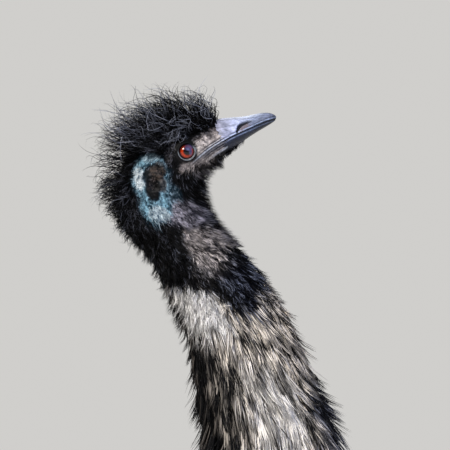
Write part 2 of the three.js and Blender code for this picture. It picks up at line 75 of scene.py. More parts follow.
def through(points, place, centripetal=False):
    """The points at these places, counted in sections, on a smooth curve through points."""
    points = np.asarray(points, float)
    first = np.clip(np.floor(place).astype(int), 0, len(points) - 2)
    w = (place - first)[:, None]
    ends = [2 * points[:1] - points[1:2], points, 2 * points[-1:] - points[-2:-1]]
    padded = np.vstack(ends)
    p0, p1, p2, p3 = (padded[first + k] for k in range(4))
    if centripetal:
        d0, d1, d2 = (
            np.maximum(np.sum((b - a) ** 2, axis=1, keepdims=True), 1e-8) ** 0.25
            for a, b in ((p0, p1), (p1, p2), (p2, p3))
        )
        start = ((p1 - p0) / d0 - (p2 - p0) / (d0 + d1) + (p2 - p1) / d1) * d1
        end = ((p2 - p1) / d1 - (p3 - p1) / (d1 + d2) + (p3 - p2) / d2) * d1
    else:
        start, end = (p2 - p0) / 2, (p3 - p1) / 2
    square = 3 * (p2 - p1) - 2 * start - end
    cube = 2 * (p1 - p2) + start + end
    return p1 + start * w + square * w**2 + cube * w**3


def section(back, belly, half_width, side=0.0, waist=0.5, top=2.0, bottom=2.0):
    """Where a section of a loft meets the back line and the belly line, and half its width."""
    return {
        "back": (back[0], side, back[1]),
        "belly": (belly[0], side, belly[1]),
        "sizes": (half_width, waist, top, bottom),
    }


class Loft:
    """A surface through sections. A place on it is a station, counted in sections from the first,
    and an angle from the back line, by the bird's left, to the belly line at pi."""

    def __init__(self, sections):
        self.back = [s["back"] for s in sections]
        self.belly = [s["belly"] for s in sections]
        self.sizes = [s["sizes"] for s in sections]
        self.last = len(sections) - 1

    def at(self, station, angle, grow=0.0):
        station, angle, grow = np.broadcast_arrays(
            *(np.asarray(v, float) for v in (station, angle, grow))
        )
        shape = station.shape
        station, angle, grow = (v.ravel() for v in (station, angle, grow))
        station = np.clip(station, 0, self.last)
        belly = through(self.belly, station, True)
        up = through(self.back, station, True) - belly
        half_width, waist, top, bottom = through(self.sizes, station).T
        height = np.linalg.norm(up, axis=1)
        up /= height[:, None]
        c, s = np.cos(angle), np.sin(angle)
        power = 2 / np.where(c > 0, top, bottom)
        rise = np.where(c > 0, 1 - waist, -waist) * np.abs(c) ** power
        point = belly + up * ((waist + rise) * (height + 2 * grow) - grow)[:, None]
        point[:, 1] += np.sign(s) * np.abs(s) ** power * (half_width + grow)
        return point.reshape(*shape, 3)


def smooth(value, low, high):
    """0 up to low, 1 from high on, and an even curve between them."""
    share = np.clip((np.asarray(value, float) - low) / (high - low), 0, 1)
    return share * share * (3 - 2 * share)


def unit(vectors):
    return vectors / np.maximum(np.linalg.norm(vectors, axis=-1, keepdims=True), 1e-9)


def bell(value, middle, width, power=2):
    """1 at the middle, falling off on both sides over about this width."""
    return np.exp(-(((value - middle) / width) ** power))


def from_table(value, table):
    """A table's entry for each value, on straight lines between the table's rows."""
    return np.interp(value, list(table), list(table.values()))


# Body, from the rump's hanging plumes to the top of the neck
BODY_SECTIONS = [
    section([-432, 742], [-424, 672], 62),
    section([-410, 850], [-384, 614], 134, waist=0.42),
    section([-330, 968], [-292, 590], 190, waist=0.42),
    section([-215, 1052], [-190, 580], 222, waist=0.44),
    section([-80, 1090], [-50, 582], 232, waist=0.46),
    section([28, 1086], [95, 596], 224, waist=0.46),
    section([105, 1076], [232, 640], 205, waist=0.46),
    section([168, 1074], [338, 722], 180, waist=0.47),
    section([222, 1084], [405, 838], 150, waist=0.48),
    section([262, 1108], [440, 962], 122),
    section([287, 1148], [461, 1085], 100),
    section([301, 1210], [467, 1200], 86),
    section([307, 1285], [463, 1298], 74),
    section([298, 1352], [440, 1357], 67),
    section([288, 1408], [415, 1420], 59),
    section([270, 1452], [381, 1473], 48),
    section([256, 1480], [346, 1510], 41),
]
HEAD_SECTIONS = [
    section([238, 1505], [322, 1539], 38),
    section([225, 1526], [316, 1559], 38, waist=0.52),
    section([223, 1549], [316, 1571], 37, waist=0.54),
    section([229, 1571], [319, 1578], 36, waist=0.55),
    section([240, 1592], [322, 1583], 35, waist=0.54),
    section([258, 1611], [326, 1586], 33.5, waist=0.52),
    section([280, 1624], [329, 1589], 31.5, waist=0.5),
    section([300, 1630], [332.5, 1592], 27.5, waist=0.46, top=1.9),
    section([317, 1634], [337, 1595.5], 23, waist=0.4, top=1.7),
    section([328, 1635.5], [341, 1599], 20, waist=0.36, top=1.5),
    section([336, 1637], [345.5, 1603], 17.5, waist=0.36, top=1.4),
    section([346.5, 1637.5], [353.5, 1609], 15, waist=0.38, top=1.35),
    section([359.5, 1638.5], [364, 1616.5], 12.5, waist=0.4, top=1.35),
    section([371.5, 1641], [374, 1623], 10, waist=0.42, top=1.5),
    section([381, 1642.5], [382.5, 1628], 7.6, waist=0.44, top=1.8),
    section([388, 1642], [389, 1632], 5.2),
    section([392.5, 1640], [393, 1635], 2.8),
    section([394.2, 1638], [394.2, 1637], 0.6),
]
BIRD = Loft(BODY_SECTIONS + HEAD_SECTIONS)

# Sections that have a name
RUMP, BREAST, NECK_ROOT, NAPE, BROW, BILL_ROOT, BILL_TIP = 0, 7, 9, 17, 23, 26, 34

# How deep the coat is over the skin, at these stations of the body
COAT_DEPTH = {
    0: 24, 1: 28, 2: 32, 5: 34, 7: 30, 9: 24, 11: 18, 13: 12.5,
    14: 10, 15: 8, 16: 6, 17: 4.5, 18: 3, 19: 2, 20: 1.2, 21: 0.8, 24: 0.4, 34: 0.2,
}


def coat_depth(station):
    return from_table(station, COAT_DEPTH)


# Sides of the bird

def mirrored(place, hand):
    """A place or a direction on the bird's left, taken to this side."""
    return place * [1, hand, 1]


def eye_place(hand):
    return mirrored(EYE_PLACE, hand)


def eye_axis(hand):
    return mirrored(unit(EYE_AXIS), hand)


# Pieces by hand: primitives, shaped in edit mode

def deselect():
    if bpy.context.object and bpy.context.object.mode != "OBJECT":
        bpy.ops.object.mode_set(mode="OBJECT")
    bpy.ops.object.select_all(action="DESELECT")


def only(obj):
    deselect()
    obj.select_set(True)
    bpy.context.view_layer.objects.active = obj
    return obj


def apply_modifier(obj, kind, **settings):
    only(obj)
    modifier = obj.modifiers.new(kind.title(), kind)
    for name, value in settings.items():
        setattr(modifier, name, value)
    bpy.ops.object.modifier_apply(modifier=modifier.name)
    return obj


def rounded(obj, levels):
    return apply_modifier(obj, "SUBSURF", levels=levels, render_levels=levels)


RING_MARKS = ("station", "turn_cos", "turn_sin")  # what the points of a tube keep of their place


def ringed(name, rings, stations, angles):
    """A closed tube through rings of points in millimetres: a filled circle, extruded ring by ring.
    Its points keep their ring's station, and their angle as a cosine and a sine."""
    deselect()
    sides = len(rings[0])
    bpy.ops.mesh.primitive_circle_add(vertices=sides, radius=0.01, fill_type="NGON")
    obj = bpy.context.object
    obj.name = obj.data.name = name
    bpy.ops.object.mode_set(mode="EDIT")
    shape = bmesh.from_edit_mesh(obj.data)
    around = shape.verts.layers.int.new("around")
    for mark in RING_MARKS:
        shape.verts.layers.float.new(mark)
    shape.verts.ensure_lookup_table()
    for place in range(sides):
        shape.verts[place][around] = place
    for step, (ring, station) in enumerate(zip(rings, stations)):
        if step:
            bpy.ops.mesh.extrude_region()
            shape = bmesh.from_edit_mesh(obj.data)
        around = shape.verts.layers.int["around"]
        marks = [shape.verts.layers.float[mark] for mark in RING_MARKS]
        for v in shape.verts:
            if v.select:
                v.co = Vector(ring[v[around]]) * MM
                angle = angles[v[around]]
                for mark, value in zip(marks, (station, math.cos(angle), math.sin(angle))):
                    v[mark] = value
    bpy.ops.mesh.select_all(action="SELECT")
    bpy.ops.mesh.normals_make_consistent(inside=False)
    bpy.ops.object.mode_set(mode="OBJECT")
    obj.data.shade_smooth()
    return obj


def loft_tube(name, loft, stations, sides, depth, shape_ring=None):
    """A closed tube that lies this depth inside a loft, with its rings reshaped if need be."""
    angles = math.pi + np.arange(sides) * 2 * math.pi / sides
    rings = [loft.at(np.full(sides, s), angles, -depth(s)) for s in stations]
    if shape_ring:
        rings = [shape_ring(ring) for ring in rings]
    return ringed(name, rings, stations, angles)


def unite(obj, other):
    apply_modifier(obj, "BOOLEAN", operation="UNION", object=other, solver="MANIFOLD")
    bpy.data.objects.remove(other)
    return obj


# What a mesh holds, read and written as arrays

def read_numbers(items, name, width):
    """A row for each item, with this many numbers in it."""
    found = np.empty(len(items) * width)
    items.foreach_get(name, found)
    return found.reshape(-1, width)


def places_of(obj):
    """The mesh's points in millimetres."""
    return read_numbers(obj.data.vertices, "co", 3) / MM


def set_places(obj, points):
    obj.data.vertices.foreach_set("co", (points * MM).ravel())
    obj.data.update()


def normals_of(obj):
    return read_numbers(obj.data.vertex_normals, "vector", 3)


def push_out(obj, depth):
    """Moves each point along its normal by so many millimetres."""
    set_places(obj, places_of(obj) + normals_of(obj) * depth[:, None])


def mark_of(obj, name):
    return read_numbers(obj.data.attributes[name].data, "value", 1)[:, 0]


def set_mark(obj, name, values):
    layer = obj.data.attributes.new(name, "FLOAT", "POINT")
    layer.data.foreach_set("value", np.asarray(values, np.float32))


def set_colours(obj, name, colours):
    colours = np.column_stack([np.maximum(colours, 0.0), np.ones(len(colours))])
    layer = obj.data.color_attributes.new(name, "FLOAT_COLOR", "POINT")
    layer.data.foreach_set("color", colours.astype(np.float32).ravel())


PATCH_HALF = 0.0015  # half the width of a strand's or a plate's patch in the bake map


def bake_map(mesh, corners):
    layer = mesh.uv_layers.new(name="OFBake")
    layer.data.foreach_set("uv", corners.astype(np.float32).ravel())


# Markings of skin and coat. Each kind of plumage or bare skin runs between a dark and a light
# colour, with a tone, or how light it mostly is, a spread, or how far its locks differ, and a tip,
# or how bright the ends of its strands are.

KINDS = {
    # The light colours of the two black kinds here, which only a few strands reach, are painted glints on
    # black plumage
    "black": ((0.0005, 0.0005, 0.001), (0.46, 0.49, 0.60), -0.40, 0.85, 1.5),
    "black_with_painted_glints": ((0.0005, 0.0005, 0.001), (0.58, 0.62, 0.76), -0.24, 0.8, 1.4),
    "blue_black": ((0.001, 0.0015, 0.005), (0.37, 0.42, 0.58), -0.05, 0.75, 1.3),
    "fuzz": ((0.010, 0.009, 0.010), (0.88, 0.80, 0.77), 0.33, 0.9, 1.35),
    "violet": ((0.012, 0.012, 0.02), (0.80, 0.76, 0.88), 0.36, 0.9, 1.3),
    "cream": ((0.045, 0.036, 0.030), (1.0, 0.98, 0.95), 1.05, 1.0, 1.1),
    "streaked": ((0.005, 0.005, 0.006), (1.0, 0.91, 0.80), 0.43, 1.1, 0.5),
    "back_dark": ((0.001, 0.001, 0.002), (0.40, 0.35, 0.31), -0.15, 0.75, 0.8),
    "brown": ((0.020, 0.015, 0.012), (0.40, 0.31, 0.225), 0.40, 0.75, 0.35),
    "umber": ((0.014, 0.011, 0.010), (0.15, 0.11, 0.08), 0.38, 0.6, 0.45),
    "buff": ((0.05, 0.04, 0.03), (0.40, 0.32, 0.24), 0.5, 0.5, 0.7),
    "blue_skin": ((0.006, 0.035, 0.060), (0.42, 0.76, 0.95), 0.38, 1.1, 1.35),
    "pale_skin_and_highlight": ((0.05, 0.14, 0.22), (0.95, 1.0, 1.0), 0.66, 0.95, 1.3),
    "ear": ((0.002, 0.002, 0.002), (0.36, 0.25, 0.19), 0.10, 0.5, 1.1),
    "lore": ((0.085, 0.070, 0.068), (0.84, 0.76, 0.72), 0.54, 0.8, 0.95),
    "cheek": ((0.006, 0.005, 0.005), (0.34, 0.285, 0.265), 0.28, 0.9, 0.9),
    "leg": ((0.030, 0.026, 0.024), (0.145, 0.125, 0.11), 0.45, 0.3, 1.0),
}

# Where these five stand in a row of a mix of kinds
DARK, LIGHT = slice(0, 3), slice(3, 6)
TONE, SPREAD, TIP = 6, 7, 8

# The black collar's lower edge: its station on the neck, by the angle from the spine
COLLAR_EDGE = {0.0: 15.3, 0.7: 15.2, 1.2: 15.05, 1.75: 14.3, 2.15: 14.45, 2.6: 14.75, math.pi: 14.85}

# Patches of the head and throat seen from the side: kind, strength, centre, half sizes and tilt
HEAD_PATCHES = [
    ("fuzz", 1.0, (315, 1500), (18, 29), 33),
    ("fuzz", 0.85, (333, 1509), (15, 13), 0),
    ("fuzz", 0.5, (322, 1478), (24, 14), 20),
    ("violet", 0.9, (294, 1535), (22, 15), -12),
    ("blue_skin", 1.0, (259, 1573), (21, 27), 0),
    ("blue_skin", 1.0, (264, 1543), (18, 19), 22),
    ("blue_skin", 0.5, (279, 1556), (13, 11), 0),
    # Pale skin; this first patch, on the blue skin's back edge, is also a painted highlight
    ("pale_skin_and_highlight", 0.9, (247, 1572), (6.5, 13), 10),
    ("pale_skin_and_highlight", 0.7, (268, 1534), (11, 9), -25),
    ("pale_skin_and_highlight", 0.4, (259, 1594), (10, 4), 0),
    ("black", 0.9, (257, 1577), (6, 12), -20),
    ("ear", 0.95, (267, 1579), (9, 10), -30),
    ("ear", 0.8, (270, 1566), (7, 10), 0),
    ("black", 0.95, (262, 1560), (8, 13), 10),
    ("cheek", 0.85, (303, 1588), (17, 7), 25),
    ("cheek", 0.7, (318, 1586), (16, 6), 37),
    ("cheek", 0.8, (318, 1617), (18, 6), 30),
    ("lore", 1.0, (319, 1607), (27, 10.5), 37),
    ("cheek", 0.45, (327, 1620), (9, 5), 37),
    ("lore", 0.9, (325, 1598.5), (15, 4.5), 33),
    ("lore", 0.6, (306, 1588), (13, 4), 20),
    # Painted glints on the bristles behind and above the eye: black ones with glints, then brown-grey ones
    ("black_with_painted_glints", 0.95, (288, 1616), (16, 7), 8),
    ("black_with_painted_glints", 0.9, (281, 1597), (7, 13), 0),
    ("cheek", 0.6, (280, 1601), (6, 12), 0),
    ("ear", 0.6, (262, 1563), (7, 11), 10),
]


def oval_patch(place, centre, half, tilt=0.0, soft=0.25):
    """1 inside an oval seen from the side, centred at (x, z), and 0 outside."""
    turn = math.radians(tilt)
    dx, dz = place[:, 0] - centre[0], place[:, 2] - centre[1]
    along = dx * math.cos(turn) + dz * math.sin(turn)
    across = -dx * math.sin(turn) + dz * math.cos(turn)
    return 1 - smooth(np.hypot(along / half[0], across / half[1]), 1 - soft, 1 + soft)


def grain(place, size, seed=0.0):
    """Even noise from -1 to 1, with lumps of about this size in millimetres."""
    shift = Vector((seed * 7.3, seed * 3.1, -seed * 5.7))
    return np.array([noise.noise(Vector(p) / size + shift) for p in place])


def one_kind(name):
    dark, light, *rest = KINDS[name]
    return np.array([*dark, *light, *rest])


def markings(station, from_spine, place):
    """The mix of kinds at each place, a row for each."""
    found = np.tile(one_kind("brown"), (len(place), 1))
    ragged = 0.16 * grain(place, 14.0) + 0.1 * grain(place, 5.0, 2)

    def paint(kind, mask):
        found[:] += np.clip(mask, 0, 1)[:, None] * (one_kind(kind) - found)

    s = station + ragged
    f = from_spine + ragged
    paint("umber", 1 - smooth(f, 0.25, 0.9))
    paint("umber", 0.7 * (1 - smooth(s, 0.5, 3)))
    paint("buff", smooth(f, 2.2, 2.8) * smooth(s, 1.5, 3.5) * (1 - smooth(s, 6, 8)))

    # The neck: streaked, dark down its back, blue-black in front, which also stands in for shade on the
    # neck's front, and cream at its sides
    neck = smooth(s, 8.2, 10.2)
    front = smooth(f + 0.3 * grain(place, 34.0, 9), 2.25, 2.85)
    sides = smooth(f, 1.2, 1.5) * (1 - smooth(f, 2.1, 2.4))
    paint("streaked", neck)
    paint("back_dark", neck * (1 - smooth(f, 0.5, 1.35)))
    # The blue-black front is the plumage's colour and also painted shade on the neck's front
    paint("blue_black", 0.85 * neck * front * (1 - smooth(s, 12.9, 13.6)))
    paint("cream", 0.75 * sides * smooth(s, 10.5, 11.5) * (1 - smooth(s, 13.2, 13.8)))
    paint("cream", smooth(f, 0.25, 0.5) * (1 - smooth(f, 1.35, 1.6)) * smooth(s, 13.75, 14.15))

    # The black collar, and above it the patches of the head
    edge = from_table(from_spine, COLLAR_EDGE)
    above = smooth(s, edge - 0.1, edge + 0.1)
    paint("black", above)
    paint("blue_black", above * smooth(f, 1.5, 2.0) * (1 - smooth(s, 15.2, 15.9)))
    head = smooth(station, 14.8, 15.2)
    rough = place.copy()
    rough[:, 0] += 2.2 * grain(place, 6.0, 4)
    rough[:, 2] += 2.2 * grain(place, 6.0, 5)
    for kind, strength, centre, half, tilt in HEAD_PATCHES:
        paint(kind, strength * head * oval_patch(rough, centre, half, tilt))
    return found


# The gape: where the mouth's line runs on behind the bill, from its corner to the bill's cutting edge
GAPE_LINE = [(299, 1582.5), (312, 1593.8), (322.8, 1602.5), (333.6, 1609.5), (344.4, 1616.3)]

# Grooves beside the gape: how far above it each lies, and its width. They are carved in the skin, and their
# colour is darkened with painted shade.
GROOVES = [(0.0, 0.8), (2.5, 0.6), (4.9, 0.6), (-2.6, 0.6), (-4.8, 0.6)]

# Pale ridges beside the gape: how far above it each lies, its width, where along it starts, its strength
PALE_RIDGES = [(1.25, 0.9, 0.05, 0.95), (3.7, 0.7, 0.35, 0.45), (-7.4, 0.9, 0.3, 0.7)]

GAPE_COLOUR = np.array([0.15, 0.155, 0.185])
CHIN_COLOUR = np.array([0.03, 0.035, 0.048])
RIDGE_COLOUR = np.array([0.70, 0.76, 0.88])


def from_line(points, line):
    """How far each point seen from the side lies above a line of (x, z), and how far along it, 0 to 1."""
    line = through(np.array(line, float), np.linspace(0, len(line) - 1, 60))
    flat = points[:, [0, 2]]
    gaps = flat[:, None, :] - line[None]
    far = np.linalg.norm(gaps, axis=2)
    nearest = far.argmin(1)
    way = np.gradient(line, axis=0)[nearest]
    gap = gaps[np.arange(len(points)), nearest]
    side = np.sign(way[:, 0] * gap[:, 1] - way[:, 1] * gap[:, 0])
    return side * far.min(1), nearest / (len(line) - 1)


def on_face(place):
    return (place[:, 0] > 292) & (place[:, 2] > 1570)


def skin_colours(station, from_spine, place):
    """The skin's colour at each place, an even mix of its kind's dark and light, with painted shade where the
    coat covers it and along the gape's grooves.
    """
    found = markings(station, from_spine, place)
    mottle = grain(place, 3.0, 7) + grain(place, 1.4, 8)
    tone = np.clip(found[:, TONE] + 0.45 * found[:, SPREAD] * mottle, 0, 1)
    colours = found[:, DARK] + tone[:, None] * (found[:, LIGHT] - found[:, DARK])
    # Painted shade: below station 15.6, where the coat lies over it, the skin is darkened to 0.3 of its
    # colour
    colours *= (0.3 + 0.7 * smooth(station, 15.6, 16.6))[:, None]
    face = on_face(place)
    above, along = from_line(place[face], GAPE_LINE)
    horny = 0.9 * bell(above, -0.4, 3.6, 6) * smooth(along, 0.05, 0.5)
    colours[face] += horny[:, None] * (GAPE_COLOUR - colours[face])
    chin = smooth(station, 25.0, 26.6) * smooth(from_spine, 1.7, 2.1)
    chin[face] *= 1 - bell(above, -3.5, 4.5, 6)
    dusky = CHIN_COLOUR * (1 + grain(place, 2.0, 14)[:, None])
    colours += chin[:, None] * (dusky - colours)
    for middle, wide, start, strength in PALE_RIDGES:
        pale = strength * smooth(along, start, start + 0.25) * bell(above, middle, wide)
        colours[face] += pale[:, None] * (RIDGE_COLOUR - colours[face])
    # Painted shade: the skin's colour is darkened along each groove
    for middle, wide in GROOVES:
        dark = smooth(along, 0.0, 0.15) * bell(above, middle, wide)
        colours[face] *= 1 - 0.86 * dark[:, None]
    return colours


# Legs: level sections from the hidden thigh down to the sole

def leg_loft(hand):
    side = hand * STANCE_WIDTH / 2
    foot_x = FOOT_BACK - hand * STEP_LENGTH / 2
    hock_x = foot_x - HOCK_BACK
    knee_x = hock_x + KNEE_FORWARD
    hip = side * 0.92

    def level(x, z, long, wide, y=side):
        return section([x - long / 2, z], [x + long / 2, z], wide / 2, side=y)

    return Loft([
        level(knee_x + 8, 760, 190, 130, hip),
        level(knee_x - 4, 700, 204, 140, hip),
        level(hock_x + 84, 620, 178, 130, hip),
        level(hock_x + 52, 545, 124, 102, side * 0.96),
        level(hock_x + 22, 480, 82, 72),
        level(hock_x + 6, 450, 64, 58),
        level(hock_x + 2, 432, 57, 50),
        level(hock_x, 415, 64, 54),
        level(hock_x + 6, 385, 54, 46),
        level(hock_x + 16, 330, 39, 32),
        level(hock_x + 28, 240, 36, 29),
        level(hock_x + 41, 150, 37, 30),
        level(hock_x + 51, 90, 42, 36),
        level(hock_x + 56, 66, 50, 46),
        level(foot_x + 2, 50, 56, 52),
        level(foot_x + 2, 34, 62, 57),
        level(foot_x + 2, 16, 64, 60),
        level(foot_x + 1, 5, 58, 54),
        level(foot_x + 1, 0, 50, 46),
    ])


LEGS = {word: leg_loft(hand) for word, hand in HANDS.items()}
CUFF, HOCK, ANKLE, SOLE = 6, 7, 14, 18
LEG_DEPTH = {0: 16, 3: 14, 4: 10, 5: 5, 6: 1.6, 7: 1.0, 18: 1.0}


def leg_depth(station):
    return from_table(station, LEG_DEPTH)


def toe_loft(length, width):
    """A toe along +X from its joint, with its pads."""
    sections = []
    for i, share in enumerate([-0.12, 0, 0.2, 0.36, 0.52, 0.68, 0.84, 0.95, 1.02]):
        swell = 1.05 if i % 2 else 0.96
        end = 0.45 if share > 1 else 0.82 if share > 0.9 else 1.0
        top = (33 - 14 * share) * end + (1 - end) * 4
        half = width / 2 * (1 - 0.22 * share) * swell * end
        sections.append(
            section([share * length, top], [share * length + 2, -4], half, waist=0.42, top=2.1, bottom=2.6)
        )
    return Loft(sections)


def claw_loft(toe_length, length, width):
    """A claw on a toe of this length: its sections by share of its length, top, bottom and width."""
    root = toe_length * 1.02 + 2
    shape = [
        (-0.2, 13, 4.5, 0.8), (0, 14.5, 3.6, 0.94), (0.22, 15.2, 3.2, 1),
        (0.5, 13, 2.4, 0.8), (0.8, 8.4, 1.6, 0.46), (1, 3.6, 1.2, 0.16),
    ]
    sections = []
    for share, top, bottom, wide in shape:
        x = root + share * length
        sections.append(section([x, top], [x, bottom], width / 2 * wide, waist=0.34))
    return Loft(sections)


def onto_toe(points, word, spread):
    """Takes points from a toe's own place, along +X from the joint, to a foot."""
    hand = HANDS[word]
    turn = math.radians(hand * spread)
    c, s = math.cos(turn), math.sin(turn)
    x, y, z = np.moveaxis(points, -1, 0)
    foot_x = FOOT_BACK - hand * STEP_LENGTH / 2
    return np.stack([x * c - y * s + foot_x, x * s + y * c + hand * STANCE_WIDTH / 2, z], -1)


def on_floor(points):
    """Lifts what would lie under the floor onto it."""
    return np.concatenate([points[..., :2], np.maximum(points[..., 2:], 0.0)], -1)


def build_leg(word):
    stations = np.concatenate([np.linspace(0.4, CUFF, 9), np.linspace(CUFF + 0.4, SOLE, 26)])
    leg = loft_tube(f"leg_{word}", LEGS[word], stations, 20, leg_depth)
    rounded(leg, 1)
    for name, toe in TOES.items():
        loft = toe_loft(toe["length"], toe["width"])
        piece = loft_tube(
            f"toe_{name}_{word}", loft, np.linspace(0, loft.last, 14), 16, lambda s: 0.6,
            lambda ring: onto_toe(on_floor(ring), word, toe["spread"]),
        )
        rounded(piece, 1)
        leg = unite(leg, piece)
    return leg


# The skin

BODY_RINGS = np.concatenate([
    np.linspace(RUMP, NECK_ROOT, 18, endpoint=False),
    np.linspace(NECK_ROOT, NAPE, 14, endpoint=False),
    np.linspace(NAPE, BILL_ROOT + 1.3, 36),
])
BODY_SIDES = 48

# Rings of lid: name, angle off the eye's axis, distance from the eyeball's middle, thickness, sink above
LIDS = [("lid", 49.5, 12.0, 0.85, 0.4), ("fold", 66.0, 13.0, 0.85, 1.8)]

# Bands of colour round the eye: angle off its axis, half width, reach and colour on the lower side. Above the
# eye each is darkened almost to black, as painted shade under the brow.
LID_BANDS = [
    (53.0, 8.5, 15.0, (0.008, 0.007, 0.008)),
    (49.0, 2.1, 13.1, (0.44, 0.50, 0.56)),
    (65.5, 2.6, 14.6, (0.34, 0.27, 0.24)),
]


def drape_over_eyes(points):
    """Draws the skin out over each eyeball, and behind it within the lids."""
    room, bulge = LID_REACH - LID_START, LID_REACH - LID_RADIUS
    behind = EYE_RADIUS - 2.5
    edge, inside = (math.cos(math.radians(degrees)) for degrees in LID_OPENING)
    for hand in HANDS.values():
        from_eye = mirrored(points, hand) - EYE_PLACE
        far = np.linalg.norm(from_eye, axis=1)
        share = np.clip((far - LID_START) / room, 0, 1)
        outside = LID_RADIUS + bulge * share ** (room / bulge)
        across = unit(from_eye) @ unit(EYE_AXIS)
        opening = smooth(across, edge, inside)
        wanted = outside * (1 - opening) + behind * opening
        near = (far < LID_REACH) & (from_eye[:, 1] > 0)
        moved = EYE_PLACE + unit(from_eye) * wanted[:, None]
        points[near] = mirrored(moved, hand)[near]
    return points


def face_folds(points):
    """How far the skin stands out: the gape's groove with its ridges, the ear's pit, and wrinkles."""
    depth = np.zeros(len(points))
    face = on_face(points)
    above, along = from_line(points[face], GAPE_LINE)
    folds = 0.7 * bell(above, 0.0, 6.0, 4)
    for middle, wide in GROOVES:
        folds -= 1.5 * bell(above, middle, 1.25 * wide)
    depth[face] += smooth(along, 0.0, 0.12) * folds

    head = points[:, 2] > 1500
    place = points[head]
    bare = oval_patch(place, (262, 1560), (30, 42), 8) + oval_patch(place, (318, 1604), (28, 14), 37)
    wrinkles = np.abs(grain(place * [1.0, 1.0, 0.6], 2.6, 11)) * 1.1 - 0.3 + 0.3 * grain(place, 1.3, 12)
    depth[head] += np.clip(bare, 0, 1) * wrinkles * (np.abs(place[:, 1]) > 6)

    from_ear = np.hypot((points[:, 0] - EAR_PLACE[0]) / 9.0, (points[:, 2] - EAR_PLACE[1]) / 12.0)
    ear = 2.2 * bell(from_ear, 0.9, 0.3) - 1.8 * bell(from_ear, 0.0, 0.45)
    return depth + ear * (np.abs(points[:, 1]) > 20)


def axis_turn(axis):
    """The turn that takes +Z to an axis."""
    return Vector(axis).to_track_quat("Z", "Y").to_matrix().to_4x4()


def lid_ring(name, hand, cone, level, thickness, droop):
    """A ring of lid round an eye: a torus at this angle off the eye's axis, sunk in above."""
    axis, eye = eye_axis(hand), eye_place(hand)
    turn = math.radians(cone)
    radius = level * math.sin(turn)
    deselect()
    bpy.ops.mesh.primitive_torus_add(
        major_segments=64, minor_segments=12, major_radius=radius * MM, minor_radius=thickness * MM,
    )
    ring = bpy.context.object
    ring.name = name
    centre = eye + axis * level * math.cos(turn)
    ring.data.transform(Matrix.Translation(Vector(centre * MM)) @ axis_turn(axis))
    points = places_of(ring)
    height = (points[:, 2] - eye[2]) / radius
    set_places(ring, points - axis * (smooth(height, -0.2, 0.9) * droop)[:, None])
    # It has no rings of its own, so it is given the station and angle that its colours need
    for mark, value in zip(RING_MARKS, (BROW + 0.5, math.cos(hand * 1.4), math.sin(hand * 1.4))):
        set_mark(ring, mark, np.full(len(points), value))
    return ring


def lid_colours(colours, place):
    """Lays the bands of colour round each eye over the skin's colours, darkened above the eye as painted
    shade under the brow.
    """
    for hand in HANDS.values():
        off_eye = place - eye_place(hand)
        far = np.linalg.norm(off_eye, axis=1)
        cone = np.degrees(np.arccos(np.clip(unit(off_eye) @ eye_axis(hand), -1, 1)))
        # Painted shade: above the eye each band is dimmed to 2 percent, as under the brow
        under = 1 - smooth(off_eye[:, 2] - 0.35 * off_eye[:, 0], 1.0, 4.5)
        for middle, wide, reach, colour in LID_BANDS:
            band = (far < reach) * bell(cone, middle, wide, 4)
            band_with_painted_brow_shade = np.array(colour) * (0.02 + 0.98 * under[:, None])
            colours += band[:, None] * (band_with_painted_brow_shade - colours)
    return colours


def build_skin():
    """The one skin of the whole bird: body, neck and head, with the lids and legs joined on."""
    skin = loft_tube("skin", BIRD, BODY_RINGS, BODY_SIDES, coat_depth)
    rounded(skin, 2)
    push_out(skin, face_folds(places_of(skin)))
    set_places(skin, drape_over_eyes(places_of(skin)))
    for word, hand in HANDS.items():
        for name, cone, level, thickness, droop in LIDS:
            skin = unite(skin, lid_ring(f"{name}_{word}", hand, cone, level, thickness, droop))
    place = places_of(skin)
    from_spine = np.abs(np.arctan2(mark_of(skin, "turn_sin"), mark_of(skin, "turn_cos")))
    colours = skin_colours(mark_of(skin, "station"), from_spine, place)
    set_colours(skin, "marking", lid_colours(colours, place))
    dark, light = (np.array(colour) for colour in KINDS["leg"][:2])
    for word in HANDS:
        leg = build_leg(word)
        shade = 0.5 + 0.4 * grain(places_of(leg), 9.0, 3)
        set_colours(leg, "marking", dark + shade[:, None] * (light - dark))
        skin = unite(skin, leg)
    return skin


# Bill, in two halves that part along the mouth

MOUTH_LINE = [(318, 1599.0), (324, 1603.5), (344.5, 1616.3), (367, 1626.8), (385.5, 1634.7), (402, 1638.6)]
MOUTH = through(np.array(MOUTH_LINE, float), np.linspace(0, len(MOUTH_LINE) - 1, 120))
NOSTRIL_LINE = [(351.2, 1620.6), (352.6, 1625.6), (355.6, 1629.6), (360.6, 1632.2), (368.0, 1634.6)]


def mouth_height(x):
    return np.interp(x, MOUTH[:, 0], MOUTH[:, 1])


def mouth_angle(station):
    """The angle from the bill's ridge at which a section crosses the mouth's line."""
    angles = np.linspace(0.2, math.pi - 0.05, 240)
    points = BIRD.at(np.full(240, station), angles)
    over = points[:, 2] - mouth_height(points[:, 0])
    return float(np.interp(0.0, -over, angles))


